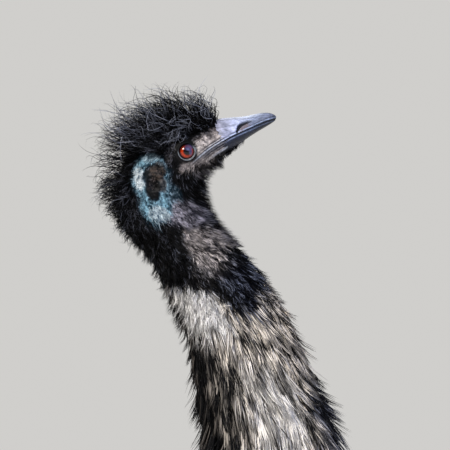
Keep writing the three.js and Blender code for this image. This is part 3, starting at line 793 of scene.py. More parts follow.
def bill_ring(station, upper, grow):
    """One ring of a half of the bill: its outer face from cutting edge to cutting edge, and the inner face.
    The upper half laps over the lower one, whose edges run up inside it."""
    crossing = mouth_angle(station)
    sides, inner = 40, 8
    if upper:
        angles = np.linspace(-crossing, crossing, sides)
    else:
        angles = np.linspace(crossing, 2 * math.pi - crossing, sides)
    outer = BIRD.at(np.full(sides, station), angles, grow)
    ends = outer[-1], outer[0]
    share = np.linspace(0, 1, inner + 2)[1:-1, None]
    floor_line = ends[0] + share * (ends[1] - ends[0])
    arch = np.sin(share[:, 0] * math.pi) * 0.07 * np.linalg.norm(ends[1] - ends[0])
    floor_line[:, 2] += arch if upper else -arch
    ring = np.vstack([outer, floor_line])
    from_mouth = ring[:, 2] - mouth_height(ring[:, 0])
    if upper:
        ring[:, 2] -= 0.55 * bell(from_mouth, 0.0, 1.3)
    else:
        edge = bell(from_mouth, 0.0, 1.1)
        ring[:, 2] += 0.8 * edge
        ring[:, 1] *= 1 - 0.10 * edge
    return ring


def nostril(points):
    """The open slot of the nostril on the upper half, the rim above it and the flap below it."""
    over, along = from_line(points, NOSTRIL_LINE)
    open_half = 1.75 * np.sin(math.pi * along) ** 0.5
    slot = 1 - smooth(np.abs(over + 0.4) / np.maximum(open_half, 0.01), 0.7, 1.25)
    rim = bell(over, 1.9, 1.3) * np.sin(math.pi * along)
    flap = smooth(-over, 1.3, 2.6) * (1 - smooth(-over, 4.6, 7.0))
    return slot, rim, flap * smooth(along, 0.05, 0.3) * (1 - smooth(along, 0.75, 1))


def build_bill(upper):
    last = BILL_TIP - (0.12 if upper else 0.75)
    stations = np.linspace(BILL_ROOT - 0.5, last, 62)
    grows = -1.5 + 1.75 * smooth(stations, BILL_ROOT - 0.5, BILL_ROOT + (0.5 if upper else 1.2))
    rings = [bill_ring(s, upper, g) for s, g in zip(stations, grows)]
    bill = ringed("bill_upper" if upper else "bill_lower", rings, stations, np.zeros(len(rings[0])))
    rounded(bill, 1)
    points, normals = places_of(bill), normals_of(bill)
    x, y = points[:, 0], points[:, 1]
    above = points[:, 2] - mouth_height(x)
    lip_groove = 2.5 if upper else -2.6
    depth = 0.10 * grain(points * [0.22, 1.0, 0.65], 1.2, 21)
    depth -= 0.28 * bell(above, lip_groove, 0.7) * (np.abs(normals[:, 1]) > 0.4)
    slot = flap = ridge = np.zeros(len(points))
    if upper:
        side = np.abs(y) > 1.5
        slot, rim, flap = (side * part for part in nostril(points))
        cere = side * oval_patch(points, (340, 1628), (14, 9), 12, 0.6)
        trough = side * oval_patch(points, (374, 1634.2), (14, 1.5), 27, 0.7)
        depth += 0.6 * rim - 2.8 * slot + 0.35 * flap + 0.8 * cere - 0.55 * trough
        depth += 0.5 * bell(y, 0.0, 1.3) * (normals[:, 2] > 0.3) * smooth(x, 335, 350)
        # The ridge's upper faces, which the bill's material lightens: pale horn with a painted highlight
        ridge = bell(y, 0.0, 3.0) * (normals[:, 2] > 0.25) * (1 - smooth(x, 366, 390))
    push_out(bill, depth)
    set_mark(bill, "above_mouth", above)
    set_mark(bill, "fore", smooth(x, 326, 394))
    set_mark(bill, "ridge", ridge)
    # The nostril's open slot, which the bill's material darkens as painted shade
    set_mark(bill, "pit", np.clip(slot * 1.4, 0, 1))
    set_mark(bill, "flap", flap)
    return bill


# Eyes

def build_eye(word):
    """An eyeball with its domed cornea, and the marks that its iris, its painted shade under the brow and its
    painted reflection of the sky need.
    """
    axis, eye = eye_axis(HANDS[word]), eye_place(HANDS[word])
    deselect()
    bpy.ops.mesh.primitive_uv_sphere_add(segments=48, ring_count=36, radius=EYE_RADIUS * MM)
    ball = bpy.context.object
    ball.name = f"eyeball_{word}"
    ball.data.transform(Matrix.Translation(Vector(eye * MM)) @ axis_turn(axis))
    points = places_of(ball)
    off = points - eye
    ahead = off @ axis
    off_axis = np.linalg.norm(off - ahead[:, None] * axis, axis=1)
    cornea = (ahead > 0) * (1 - smooth(off_axis, 2.0, 7.5)) * 0.55
    set_places(ball, points + axis * cornea[:, None])
    # Painted reflection: a violet patch of sky painted over the eye's upper front, across iris and pupil
    reflection_above = np.hypot((off[:, 0] - 4.0) / 5.0, (off[:, 2] - 4.6) / 4.0)
    reflection_ahead = np.hypot((off[:, 0] - 6.2) / 2.5, (off[:, 2] + 0.2) / 5.6)
    painted_sky_reflection = np.minimum(reflection_above, reflection_ahead + 0.15) + 0.08 * grain(points, 3.0, 41)
    turn = np.arctan2(off[:, 2], off[:, 0])
    set_mark(ball, "off_axis", np.where(ahead > 0, off_axis, 20.0))
    # Painted shade: the eyeball's upper part is darkened, as if in the brow's shadow
    set_mark(ball, "painted_brow_shade", smooth(off[:, 2] - 0.55 * off[:, 0], 1.5, 9.0))
    set_mark(ball, "painted_sky_reflection", 0.85 * (1 - smooth(painted_sky_reflection, 0.65, 1.1)))
    set_mark(ball, "spoke_cos", np.cos(turn))
    set_mark(ball, "spoke_sin", np.sin(turn))
    ball.data.shade_smooth()
    return ball


# Claws

def build_claw(name, word):
    toe = TOES[name]
    loft = claw_loft(toe["length"], toe["claw"], toe["width"] * 0.6)
    claw = loft_tube(
        f"nail_{name}_{word}", loft, np.linspace(0, loft.last, 14), 16, lambda s: -0.3,
        lambda ring: onto_toe(ring, word, toe["spread"]),
    )
    rounded(claw, 1)
    push_out(claw, 0.16 * grain(places_of(claw), 2.4, 31))
    return claw


# Scales of the legs: domed plates that overlap downwards

SHANK_PLATES = 34  # broad ones, down the front
SHANK_ROWS, ROW_SCALES = 62, 9  # small ones, round the sides and back
TOE_PLATE_LENGTH = 6.2
BROAD, SMALL = (5, 7), (4, 4)  # points along and across a plate


def plates(loft, station, angle, half_station, half_angle, height, zone, grid, move=None):
    """Domed plates on a loft, each a closed shell. Their centres, half sizes and heights are arrays with
    an entry for each plate, or single numbers. zone is where they lie in the bake map: its left edge,
    and the loft's first and last station in it."""
    station, angle, half_station, half_angle, height = (
        part.astype(float) for part in np.broadcast_arrays(station, angle, half_station, half_angle, height)
    )
    rows, columns = grid
    v, u = np.meshgrid(np.linspace(-1, 1, rows), np.linspace(-1, 1, columns), indexing="ij")
    dome = np.clip(1 - np.abs(u) ** 3.5, 0, 1) * np.clip(1 - np.abs(v) ** 5, 0, 1)
    lift = dome * (0.62 + 0.38 * v)
    rounding = 1 - 0.16 * np.abs(u) ** 3 * np.sign(v)
    s = station[:, None, None] + half_station[:, None, None] * v * rounding
    a = angle[:, None, None] + half_angle[:, None, None] * u
    top = loft.at(s, a, -1.25 + (height[:, None, None] + 0.25) * lift)
    under = loft.at(s, a, np.full(s.shape, -2.4))
    points = np.concatenate([top.reshape(len(station), -1, 3), under.reshape(len(station), -1, 3)], 1)
    points = on_floor(move(points) if move else points)
    left, first, last = zone
    middle = np.stack([left + 0.23 * (angle / (2 * math.pi) + 0.5), (station - first) / (last - first)], -1)
    spot = np.stack([u.ravel(), v.ravel()], -1) * PATCH_HALF
    spots = 0.01 + 0.98 * middle[:, None] + np.concatenate([spot, spot * 0.8])
    index = np.arange(rows * columns).reshape(rows, columns)
    corners = (index[:-1, :-1], index[:-1, 1:], index[1:, 1:], index[1:, :-1])
    faces = []
    for face in zip(*(corner.ravel() for corner in corners)):
        faces.append(face)
        faces.append(tuple(i + index.size for i in reversed(face)))
    rim = [*index[0], *index[1:, -1], *index[-1, -2::-1], *index[-2:0:-1, 0]]
    for here, after in zip(rim, rim[1:] + rim[:1]):
        faces.append((after, here, here + index.size, after + index.size))
    return points, np.array(faces), spots


def joined_shells(name, batches):
    """One mesh from batches of like closed shells: points of each shell, faces of one shell and,
    where the points have their own places in the bake map, those."""
    places, loops, sizes, total = [], [], [], 0
    for points, faces, _ in batches:
        count, each, _ = points.shape
        places.append(points.reshape(-1, 3))
        for group in faces if isinstance(faces, list) else [faces]:
            all_faces = group[None] + (np.arange(count) * each)[:, None, None] + total
            loops.append(all_faces.reshape(-1))
            sizes.append(np.full(count * len(group), group.shape[1]))
        total += count * each
    places, loops, sizes = (np.concatenate(parts) for parts in (places, loops, sizes))
    mesh = bpy.data.meshes.new(name)
    mesh.vertices.add(len(places))
    mesh.vertices.foreach_set("co", (places * MM).astype(np.float32).ravel())
    mesh.loops.add(len(loops))
    mesh.loops.foreach_set("vertex_index", loops.astype(np.int32))
    mesh.polygons.add(len(sizes))
    mesh.polygons.foreach_set("loop_start", (np.cumsum(sizes) - sizes).astype(np.int32))
    mesh.update(calc_edges=True)
    if batches[0][2] is not None:
        spots = np.concatenate([spots.reshape(-1, 2) for _, _, spots in batches])
        bake_map(mesh, spots[loops])
    mesh.shade_smooth()
    obj = bpy.data.objects.new(name, mesh)
    bpy.context.scene.collection.objects.link(obj)
    return obj


def toe_scales(word, toe, left):
    """A toe's broad plates along its top, and two rows of small ones down each side."""
    top = toe_loft(toe["length"], toe["width"])
    number = round(toe["length"] / TOE_PLATE_LENGTH)
    zone = (left, 0, top.last)

    def place(points):
        return onto_toe(points, word, toe["spread"])

    station = np.linspace(1.5, top.last - 0.4, number)
    batches = [plates(top, station, 0.0, np.gradient(station) * 0.60, 0.98, 1.5, zone, BROAD, place)]
    for side in (-1, 1):
        for low, shift in ((1.35, 0.0), (1.8, 0.1)):
            station = np.linspace(1.6, top.last - 0.5, number) + shift
            half = np.gradient(station) * 0.6
            batches.append(plates(top, station, side * low, half, 0.24, 1.1, zone, SMALL, place))
    return batches


def build_leg_scales(word):
    loft = LEGS[word]
    station = np.linspace(HOCK - 0.3, ANKLE + 1.6, SHANK_PLATES)
    half = np.gradient(station) * 0.60
    zone = (-0.02, HOCK - 1, ANKLE + 2)
    batches = [plates(loft, station, math.pi, half, 0.92, 1.3, zone, (5, 9))]
    zone = (0.0, HOCK - 1, ANKLE + 2)
    half = (ANKLE + 1.8 - HOCK) / SHANK_ROWS * 0.72
    for row, s in enumerate(np.linspace(HOCK - 0.5, ANKLE + 1.8, SHANK_ROWS)):
        shift = 0.25 + 0.5 * (row % 2)
        angles = -2.15 + 4.3 * (np.arange(ROW_SCALES) + shift) / ROW_SCALES
        batches.append(plates(loft, s, angles, half, 0.235, 0.95, zone, SMALL))
    for number, toe in enumerate(TOES.values()):
        batches += toe_scales(word, toe, 0.26 + 0.25 * number)
    return joined_shells(f"scales_{word}", batches)


# The coat: tapering strands, rooted on the skin, that lie along the body in locks

STRAND_SIDES = 3
ROOT_DEPTH = 0.5  # of a strand's root under the skin
HANG_ANGLE = 1.85  # from the spine, past which the flanks' plumes hang free
FALL = unit(np.array([-0.3, 0.0, -1.0]))
RUMP_FALL = 75.0  # how far strands fall for each station past the rump
FLANK_FALL = 200.0  # and for each radian past the hanging angle


def scatter_roots(loft, span, count, depth, density, rng):
    """Stations and angles spread over a loft by its area times density(station, from_spine, place)."""
    rows, columns = 240, 120
    s = np.linspace(*span, rows + 1)
    a = np.linspace(-math.pi, math.pi, columns + 1)
    corner = loft.at(*np.meshgrid(s, a, indexing="ij"), -depth(s)[:, None])
    across = np.cross(corner[1:, 1:] - corner[:-1, :-1], corner[1:, :-1] - corner[:-1, 1:])
    area = np.linalg.norm(across, axis=2).ravel() / 2
    mid_s, mid_a = np.meshgrid((s[1:] + s[:-1]) / 2, (a[1:] + a[:-1]) / 2, indexing="ij")
    middle = ((corner[1:, 1:] + corner[:-1, :-1]) / 2).reshape(-1, 3)
    weight = area * np.clip(density(mid_s.ravel(), np.abs(mid_a.ravel()), middle), 0, None)
    cell = rng.choice(weight.size, count, p=weight / weight.sum())
    row, column = np.divmod(cell, columns)
    station = s[row] + (s[1] - s[0]) * rng.random(count)
    angle = a[column] + (a[1] - a[0]) * rng.random(count)
    return station, angle


def flow(loft, station, angle, grow, hanging):
    """Points of strands that follow a loft. Past its first section they fall free, and so do the
    flanks' plumes."""
    over = np.maximum(-station, 0) * RUMP_FALL
    size = np.abs(angle)
    if hanging:
        limit = np.maximum(size[:, :1], HANG_ANGLE)
        on_body = 1 - smooth(station, BREAST - 0.5, BREAST + 1.0)
        beyond = np.maximum(size - limit, 0) * FLANK_FALL * on_body
        kept = np.where(beyond > 0, np.sign(angle) * np.minimum(size, limit), angle)
    else:
        beyond, kept = 0 * size, angle
    point = loft.at(np.maximum(station, 0), kept, grow)
    return point + (over + beyond)[..., None] * FALL


def strand_paths(loft, station, angle, depth, look, hanging, share):
    """The middle line of each strand. Its length runs tailwards and, by its droop, towards the belly."""
    step = 0.02
    inner = np.clip(station, step, loft.last - step)
    base = -depth(inner)

    def stretch(by_station, by_angle, least):
        """Millimetres for each station or radian, at each root."""
        after = loft.at(inner + by_station, angle + by_angle, base)
        before = loft.at(inner - by_station, angle - by_angle, base)
        return np.maximum(np.linalg.norm(after - before, axis=1) / (2 * step), least)

    per_station = stretch(step, 0.0, 75 if hanging else 8)
    per_angle = stretch(0.0, step, 60 if hanging else 8)
    run = -look["length"] * np.cos(look["droop"]) / per_station
    fall = look["length"] * np.sin(look["droop"]) / per_angle * np.sign(angle)
    travel = share ** look.get("lag", 1.0)
    s = station[:, None] + run[:, None] * travel
    a = angle[:, None] + fall[:, None] * travel
    lift = 1 - (1 - share) ** look["arch"][:, None] - look["sag"][:, None] * share**2
    lift = look["stand"][:, None] * lift + look["flick"][:, None] * share**3
    grow = -depth(np.maximum(s, 0)) - ROOT_DEPTH + lift
    return flow(loft, s, a, grow, hanging)


def outward(loft, station, angle, depth):
    base = -depth(station)
    return unit(loft.at(station, angle, base + 1) - loft.at(station, angle, base - 1))


def across_strand(middle, out):
    """Two directions across each strand: sideways on the skin, and away from it."""
    along = unit(np.gradient(middle, axis=1))
    side = unit(np.cross(along, out[:, None, :]))
    return side, unit(np.cross(side, along))


def strand_faces(rings):
    """The faces of one strand: the walls between its rings, its tip, and its foot."""
    sides = STRAND_SIDES
    ring = np.arange(rings * sides).reshape(rings, sides)
    after = np.roll(ring, -1, axis=1)
    walls = np.stack([ring[:-1], after[:-1], after[1:], ring[1:]], -1).reshape(-1, 4)
    tips = np.stack([ring[-1], after[-1], np.full(sides, rings * sides)], -1)
    return walls, tips, ring[0][::-1][None]


def build_coat(name, loft, span, count, depth, density, look_of, seed, rings=3, clump_size=8,
               clumping=0.55, hanging=False, colour_of=None):
    """One piece of coat. look_of(station, from_spine, place, rng, lock) gives each strand's look.
    Strands gather in locks round a leading strand, and lock holds three chances that a lock shares."""
    rng = np.random.default_rng(seed)
    station, angle = scatter_roots(loft, span, count, depth, density, rng)
    leads = max(count // clump_size, 4)
    lead_station, lead_angle = scatter_roots(loft, span, leads, depth, density, rng)
    place = loft.at(station, angle, -depth(station))
    lead_place = loft.at(lead_station, lead_angle, -depth(lead_station))
    tree = kdtree.KDTree(leads)
    for i, p in enumerate(lead_place):
        tree.insert(p, i)
    tree.balance()
    leader = np.array([tree.find(p)[1] for p in place])
    chances = rng.random((leads, 3))
    lock = chances[leader]

    # Middle lines, drawn towards their lock's leader, then curled and blown
    share = np.linspace(0, 1, rings + 1)
    look = look_of(station, np.abs(angle), place, rng, lock)
    lead_look = look_of(lead_station, np.abs(lead_angle), lead_place, rng, chances)
    path = strand_paths(loft, station, angle, depth, look, hanging, share)
    lead_path = strand_paths(loft, lead_station, lead_angle, depth, lead_look, hanging, share)
    pull = (clumping * share**1.3)[None, :, None]
    middle = path + pull * (lead_path[leader] - path)
    out = outward(loft, station, angle, depth)
    side, up = across_strand(middle, out)
    phase = lock[:, 1:, None] * 2 * math.pi + rng.normal(0, 0.5, (count, 2, 1))
    turns = look["turns"][:, None] * share * 2 * math.pi
    curl = look["curl"][:, None] * share**1.2
    sway, bob = (curl * (np.sin(turns + phase[:, way]) - np.sin(phase[:, way])) for way in (0, 1))
    middle = middle + sway[..., None] * side + (0.8 * bob)[..., None] * up
    middle = middle + look["blow"][:, None, :] * (share**2)[None, :, None]

    # Flat rings round them, each strand rolled a little, tapering to its tip
    side, up = across_strand(middle, out)
    roll = rng.normal(0, 0.35, count)[:, None, None]
    side, up = side * np.cos(roll) + up * np.sin(roll), up * np.cos(roll) - side * np.sin(roll)
    turn = np.arange(STRAND_SIDES) * 2 * math.pi / STRAND_SIDES
    slim = (1 - share[:-1] ** 2) ** 0.8 * (0.55 + 0.45 * smooth(share[:-1], 0, 0.35))
    wide = np.cos(turn) * slim[:, None] * look["width"][:, None, None]
    thick = np.sin(turn) * slim[:, None] * look["thick"][:, None, None]
    rim = side[:, :-1, None, :] * wide[..., None] + up[:, :-1, None, :] * thick[..., None]
    rim = middle[:, :-1, None, :] + 0.5 * rim
    points = np.concatenate([rim.reshape(count, -1, 3), middle[:, -1:, :]], 1)
    faces = strand_faces(rings)
    coat = joined_shells(name, [(points, list(faces), None)])
    colour_strands(coat, (colour_of or markings)(station, np.abs(angle), place), share, lock, rng)
    map_strands(coat, (station - span[0]) / (span[1] - span[0]), angle, rings, faces)
    return coat


def colour_strands(coat, found, share, lock, rng):
    """Gives a coat its colours, from root to tip, by its mix of kinds and each lock's own chance, with
    painted shade darkening each strand towards its root.
    """
    count = len(found)
    chance = 0.7 * (2 * lock[:, 0] - 1) + 0.4 * rng.uniform(-1, 1, count)
    tone = np.clip(found[:, TONE] + found[:, SPREAD] * chance, 0, 1.15)
    base = found[:, DARK] + tone[:, None] * (found[:, LIGHT] - found[:, DARK])
    tip = found[:, TIP][:, None]
    # Painted shade: each strand is darkened towards its root, as in the coat's depths; its tip takes its
    # kind's own brightness
    shade = (0.25 + 0.75 * smooth(share, 0.0, 0.4)) * (1 + (tip - 1) * smooth(share, 0.6, 0.95))
    rows = np.concatenate([np.repeat(shade[:, :-1], STRAND_SIDES, axis=1), shade[:, -1:]], 1)
    set_colours(coat, "plume", (base[:, None, :] * rows[..., None]).reshape(-1, 3))
    set_mark(coat, "fleck", np.repeat(rng.random(count), rows.shape[1]))


def map_strands(coat, low, angle, rings, faces):
    """Gives a coat its bake map, the skin unrolled, with each strand a small patch at its root."""
    root_u = 0.004 + 0.992 * (angle + math.pi) / (2 * math.pi)
    root_v = 0.004 + 0.988 * low
    walls, tips, foot = faces
    wide = 1 / STRAND_SIDES
    wall_u = (walls[:, :1] % STRAND_SIDES + [0, 1, 1, 0]) * wide
    wall_v = (walls // STRAND_SIDES) / rings
    tip_u = (tips[:, :1] % STRAND_SIDES + [0, 1, 0.5]) * wide
    tip_v = np.tile([1 - 1 / rings, 1 - 1 / rings, 1.0], (STRAND_SIDES, 1))
    foot_u = 0.5 + 0.5 * np.cos(foot * 2 * math.pi * wide)
    foot_v = 0.1 + 0.1 * np.sin(foot * 2 * math.pi * wide)
    maps = []
    for patch in ((wall_u, wall_v), (tip_u, tip_v), (foot_u, foot_v)):
        corners = [
            root[:, None, None] + PATCH_HALF * (2 * across - 1)[None]
            for root, across in zip((root_u, root_v), patch)
        ]
        maps.append(np.stack(corners, -1).reshape(-1, 2))
    bake_map(coat.data, np.concatenate(maps))


# How the coat of each part of the bird looks, by station

PLUME_LENGTH = {
    0: 92, 0.6: 120, 1.5: 150, 2.5: 145, 4: 130, 6: 112, 7: 96, 8: 80, 9: 66, 10: 56, 11: 50,
    12: 46, 13: 42, 13.8: 36, 14.3: 27, 15: 21, 16: 17, 17: 15,
}
PLUME_WIDTH = {0: 5.5, 4: 5.0, 7: 4.4, 9: 3.0, 11: 2.4, 13: 2.1, 14: 1.7, 15: 1.1, 17: 0.8}
NECK_TIGHTNESS = {10: 0, 12: 0.1, 13.4: 0.3, 14: 0.45, 15.5: 0.45, 16.5: 0.3, 17.6: 0.3}
FLANK_DROOP = {0: 0.35, 3: 0.75, 6: 0.85, 8: 0.7, 9.5: 0.25, 11: 0.1, 17: 0.05}


def strands(count, **values):
    """A look for each strand: what isn't named is 0, and a single number is the same for all."""
    look = {"blow": np.zeros((count, 3))}
    for name in ("droop", "flick", "sag", "curl", "turns"):
        look[name] = np.zeros(count)
    for name, value in values.items():
        if name != "lag":
            value = np.broadcast_to(np.asarray(value, float), (count, 3) if name == "blow" else count)
        look[name] = value
    return look


def plume_look(length=1.0, width=1.0, stand=1.0, curl=0.02, turns=0.6, stray=0.12, flick=1.0):
    """Strands along the body, in locks that lift to the coat's own depth, some of them standing out."""
    def look(station, from_spine, place, rng, lock):
        count = len(station)
        long = from_table(station, PLUME_LENGTH) * length * rng.uniform(0.72, 1.15, count)
        lean = from_table(station, FLANK_DROOP) * np.sin(np.clip(from_spine, 0, math.pi) / 1.15)
        wide = from_table(station, PLUME_WIDTH) * width * rng.uniform(0.6, 1.25, count)
        tight = from_table(station, NECK_TIGHTNESS) * (1 - 0.6 * smooth(from_spine, 1.3, 2.0))
        deep = coat_depth(station) * (1 - tight)
        raised = smooth(lock[:, 1], 1 - stray, 1.0)
        return strands(
            count,
            length=long * (1 - 0.15 * raised),
            droop=np.clip(lean, -0.3, 1.3) + 0.22 * (lock[:, 2] - 0.5) + rng.normal(0, 0.10, count),
            width=wide,
            thick=wide * 0.42,
            stand=deep * stand * (0.2 + 0.75 * lock[:, 1]) * rng.uniform(0.7, 1.2, count),
            flick=flick * (raised * (5 + 0.55 * deep) + 0.15 * deep * rng.random(count)),
            arch=rng.uniform(1.2, 2.2, count),
            sag=rng.uniform(0.0, 0.3, count) * (1 - raised),
            curl=long * curl * rng.uniform(0.3, 1.6, count),
            turns=turns * rng.uniform(0.5, 1.4, count),
        )
    return look


# How high the crown's thick hair stands by station, and how high its wisps
CROWN_HEIGHT = {16.5: 1.5, 18: 2.5, 19: 5.5, 20: 11, 21: 16, 22: 22, 23: 23, 24: 20, 25: 15, 26: 11}
WISP_HEIGHT = {16.5: 4, 18: 11, 19: 24, 20: 42, 21: 60, 22: 70, 23: 70, 24: 65, 25: 54, 26: 42}


def crown_look(station, from_spine, place, rng, lock, height=CROWN_HEIGHT, tall=1.0, wild=1.0):
    """Fine curly hair-like feathers that stand off the skull and bend over backwards."""
    count = len(station)
    nape = 1 - smooth(station, 17.8, 22.6)
    side = smooth(from_spine, 0.35, 1.3)
    front = smooth(station, 23.0, 25.5)
    stand = from_table(station, height) * (1 - 0.5 * side) * rng.uniform(0.6, 1.15, count)
    stand *= tall * (0.65 + 0.45 * lock[:, 0]) * (0.4 + 0.6 * smooth(beside_eye(place), 14, 26))
    sideways = rng.normal(0, 4.0, count) + 9 * (lock[:, 2] - 0.5)
    back = (0.2 + 0.8 * lock[:, 1]) * (1 - 0.6 * front)
    wide = rng.uniform(0.55, 0.95, count)
    return strands(
        count,
        length=(1.0 + 5.0 * rng.random(count) + 3 * nape + 3 * side) * (1 - 0.5 * front),
        lag=1.8,
        droop=0.5 * side + 1.6 * (lock[:, 2] - 0.5) + rng.normal(0, 1.0, count),
        width=wide,
        thick=wide * 0.8,
        stand=stand,
        arch=rng.uniform(1.0, 1.5, count),
        curl=wild * rng.uniform(1.2, 3.8, count) * (0.8 + 0.5 * lock[:, 0]) * (1 - 0.55 * nape),
        turns=rng.uniform(0.8, 1.8, count),
        blow=np.column_stack([-3.5 * back, sideways, -(2 + 4 * nape) * back]) * (1 - 0.5 * nape[:, None]),
    )


def down_look(station, from_spine, place, rng, lock):
    """The crown's short dense underlayer."""
    look = crown_look(station, from_spine, place, rng, lock, tall=0.75)
    look["width"] = look["width"] * 1.4
    look["blow"] = look["blow"] * 0.6
    return look


def wisp_look(station, from_spine, place, rng, lock):
    """The long curls that break the crown's outline."""
    look = crown_look(station, from_spine, place, rng, lock, WISP_HEIGHT, wild=3.2)
    look["width"] = look["thick"] = rng.uniform(0.6, 0.95, len(station))
    look["turns"] = rng.uniform(0.6, 1.5, len(station))
    look["sag"] = rng.uniform(0.0, 0.35, len(station))
    look["blow"] = look["blow"] * [1.6, 1.3, 1.2]
    return look


def bristle_look(station, from_spine, place, rng, lock):
    """Short stiff bristles of the face, longest under the jaw."""
    count = len(station)
    jaw = smooth(from_spine, 1.7, 2.5)
    ear = np.maximum(oval_patch(place, (260, 1566), (25, 28)), oval_patch(place, (266, 1540), (20, 22)))
    snout = smooth(place[:, 0], 292, 330)
    chin = smooth(station, 23.2, 26.0)
    front = smooth(from_spine, 2.2, 2.8) * (1 - 0.85 * chin)
    long = (5.0 + 4.0 * jaw - 1.6 * ear) * (1 - 0.35 * snout)
    long = long * rng.uniform(0.7, 1.3, count) * (1 - 0.45 * chin)
    wide = rng.uniform(0.45, 0.75, count) + 0.3 * ear
    return strands(
        count,
        length=long,
        droop=0.25 + 0.6 * (lock[:, 2] - 0.5) + rng.normal(0, 0.25, count),
        width=wide,
        thick=wide * 0.7,
        stand=(1.7 + 3.2 * jaw * (1 - 0.7 * chin) - 0.5 * ear) * rng.uniform(0.5, 1.4, count),
        flick=(2.0 * jaw + 5.0 * front) * rng.random(count),
        arch=rng.uniform(1.2, 2.0, count),
        curl=rng.uniform(0.1, 0.5, count) * (1 + jaw),
        turns=rng.uniform(0.3, 0.8, count),
        blow=np.outer(front * rng.uniform(0.0, 5.0, count), [1.0, 0.0, -0.4]),
    )


THIGH_LENGTH = {0: 95, 3: 80, 5: 44, 6: 20}
THIGH_WIDTH = {0: 4.4, 3: 3.8, 6: 2.2}


def thigh_look(station, from_spine, place, rng, lock):
    """Plumes that run down the leg, and shorten to its cuff."""
    count = len(station)
    long = from_table(station, THIGH_LENGTH) * rng.uniform(0.75, 1.15, count)
    wide = from_table(station, THIGH_WIDTH) * rng.uniform(0.6, 1.2, count)
    return strands(
        count,
        length=-long,
        droop=0.3 * (lock[:, 2] - 0.5) + rng.normal(0, 0.1, count),
        width=wide,
        thick=wide * 0.42,
        stand=leg_depth(station) * (0.3 + 0.8 * lock[:, 1]) * rng.uniform(0.8, 1.2, count),
        arch=rng.uniform(1.2, 2.0, count),
        sag=rng.uniform(0.0, 0.3, count),
        curl=long * 0.03,
        turns=rng.uniform(0.3, 0.9, count),
    )


def thigh_colours(station, from_spine, place):
    """Those of the flank, running to umber at the cuff."""
    found = markings(np.full(len(station), 4.0), np.full(len(station), 1.6), place)
    return found + smooth(station, 3.5, 5.5)[:, None] * (one_kind("umber") - found)


def crown_colours(station, from_spine, place):
    """Black, with more painted glints on the curls of the crown's lit top than on the nape's."""
    # Painted glints: the crown's top, where the key light falls, takes the kind with more light
    share = smooth(station, 20.5, 22.5)[:, None]
    return one_kind("black") + share * (one_kind("black_with_painted_glints") - one_kind("black"))


# Where the strands grow

def beside_eye(place, shift=0.0):
    """How far each place seen from the side lies from the eye, or from just ahead of it."""
    return np.hypot(place[:, 0] - EYE_PLACE[0] - shift, place[:, 2] - EYE_PLACE[2])


def bare_ear(place):
    return np.maximum(oval_patch(place, (260, 1567), (23, 26)), oval_patch(place, (264, 1541), (19, 20)))


# How far down its sides the crown's hair grows
CROWN_REACH = {16.5: 1.3, 18: 1.5, 20: 1.5, 22: 1.15, 24: 0.85, 25.6: 0.68}


def crown_density(station, from_spine, place):
    reach = from_table(station, CROWN_REACH)
    top = 1 - smooth(from_spine, reach - 0.15, reach + 0.2)
    front = 1 - smooth(place[:, 0] + 0.6 * (1630 - place[:, 2]), 324.5, 332.5)
    above_ear = oval_patch(place, (261, 1575), (23, 30))
    clear = smooth(beside_eye(place), 13.5, 18) * (1 - np.maximum(bare_ear(place), above_ear))
    return top * smooth(station, 16.5, 17.5) * front * clear


def wisp_density(station, from_spine, place):
    return crown_density(station, from_spine, place) * (0.4 + 0.6 * smooth(station, 20.0, 22.5))


def face_density(station, from_spine, place):
    lore = oval_patch(place, (322, 1606), (30, 11), 37)
    dense = 0.75 + 0.25 * smooth(from_spine, 1.7, 2.2) + 0.15 * bare_ear(place)
    snout = 1 - smooth(place[:, 0], 322, 336) * (1 - smooth(from_spine, 2.3, 2.7))
    snout *= 1 - smooth(station, 24.8, 26.9)
    return dense * smooth(beside_eye(place, 2.2), 12.5, 14.5) * (1 - 0.88 * lore) * snout


def chin_density(station, from_spine, place):
    return smooth(from_spine, 2.45, 2.8) * (1 - smooth(station, 26.6, 29.2)) * smooth(station, 25.6, 26.4)


def everywhere(station, from_spine, place):
    return np.ones(len(station))


def between_angles(low, high):
    def density(station, from_spine, place):
        return smooth(from_spine, low - 0.1, low + 0.1) * (1 - smooth(from_spine, high - 0.1, high + 0.1))
    return density


# Each piece of coat: its slot, stations, number of strands, where they grow and how they look

BODY_LOCKS = {"clump_size": 8, "clumping": 0.64, "hanging": True}

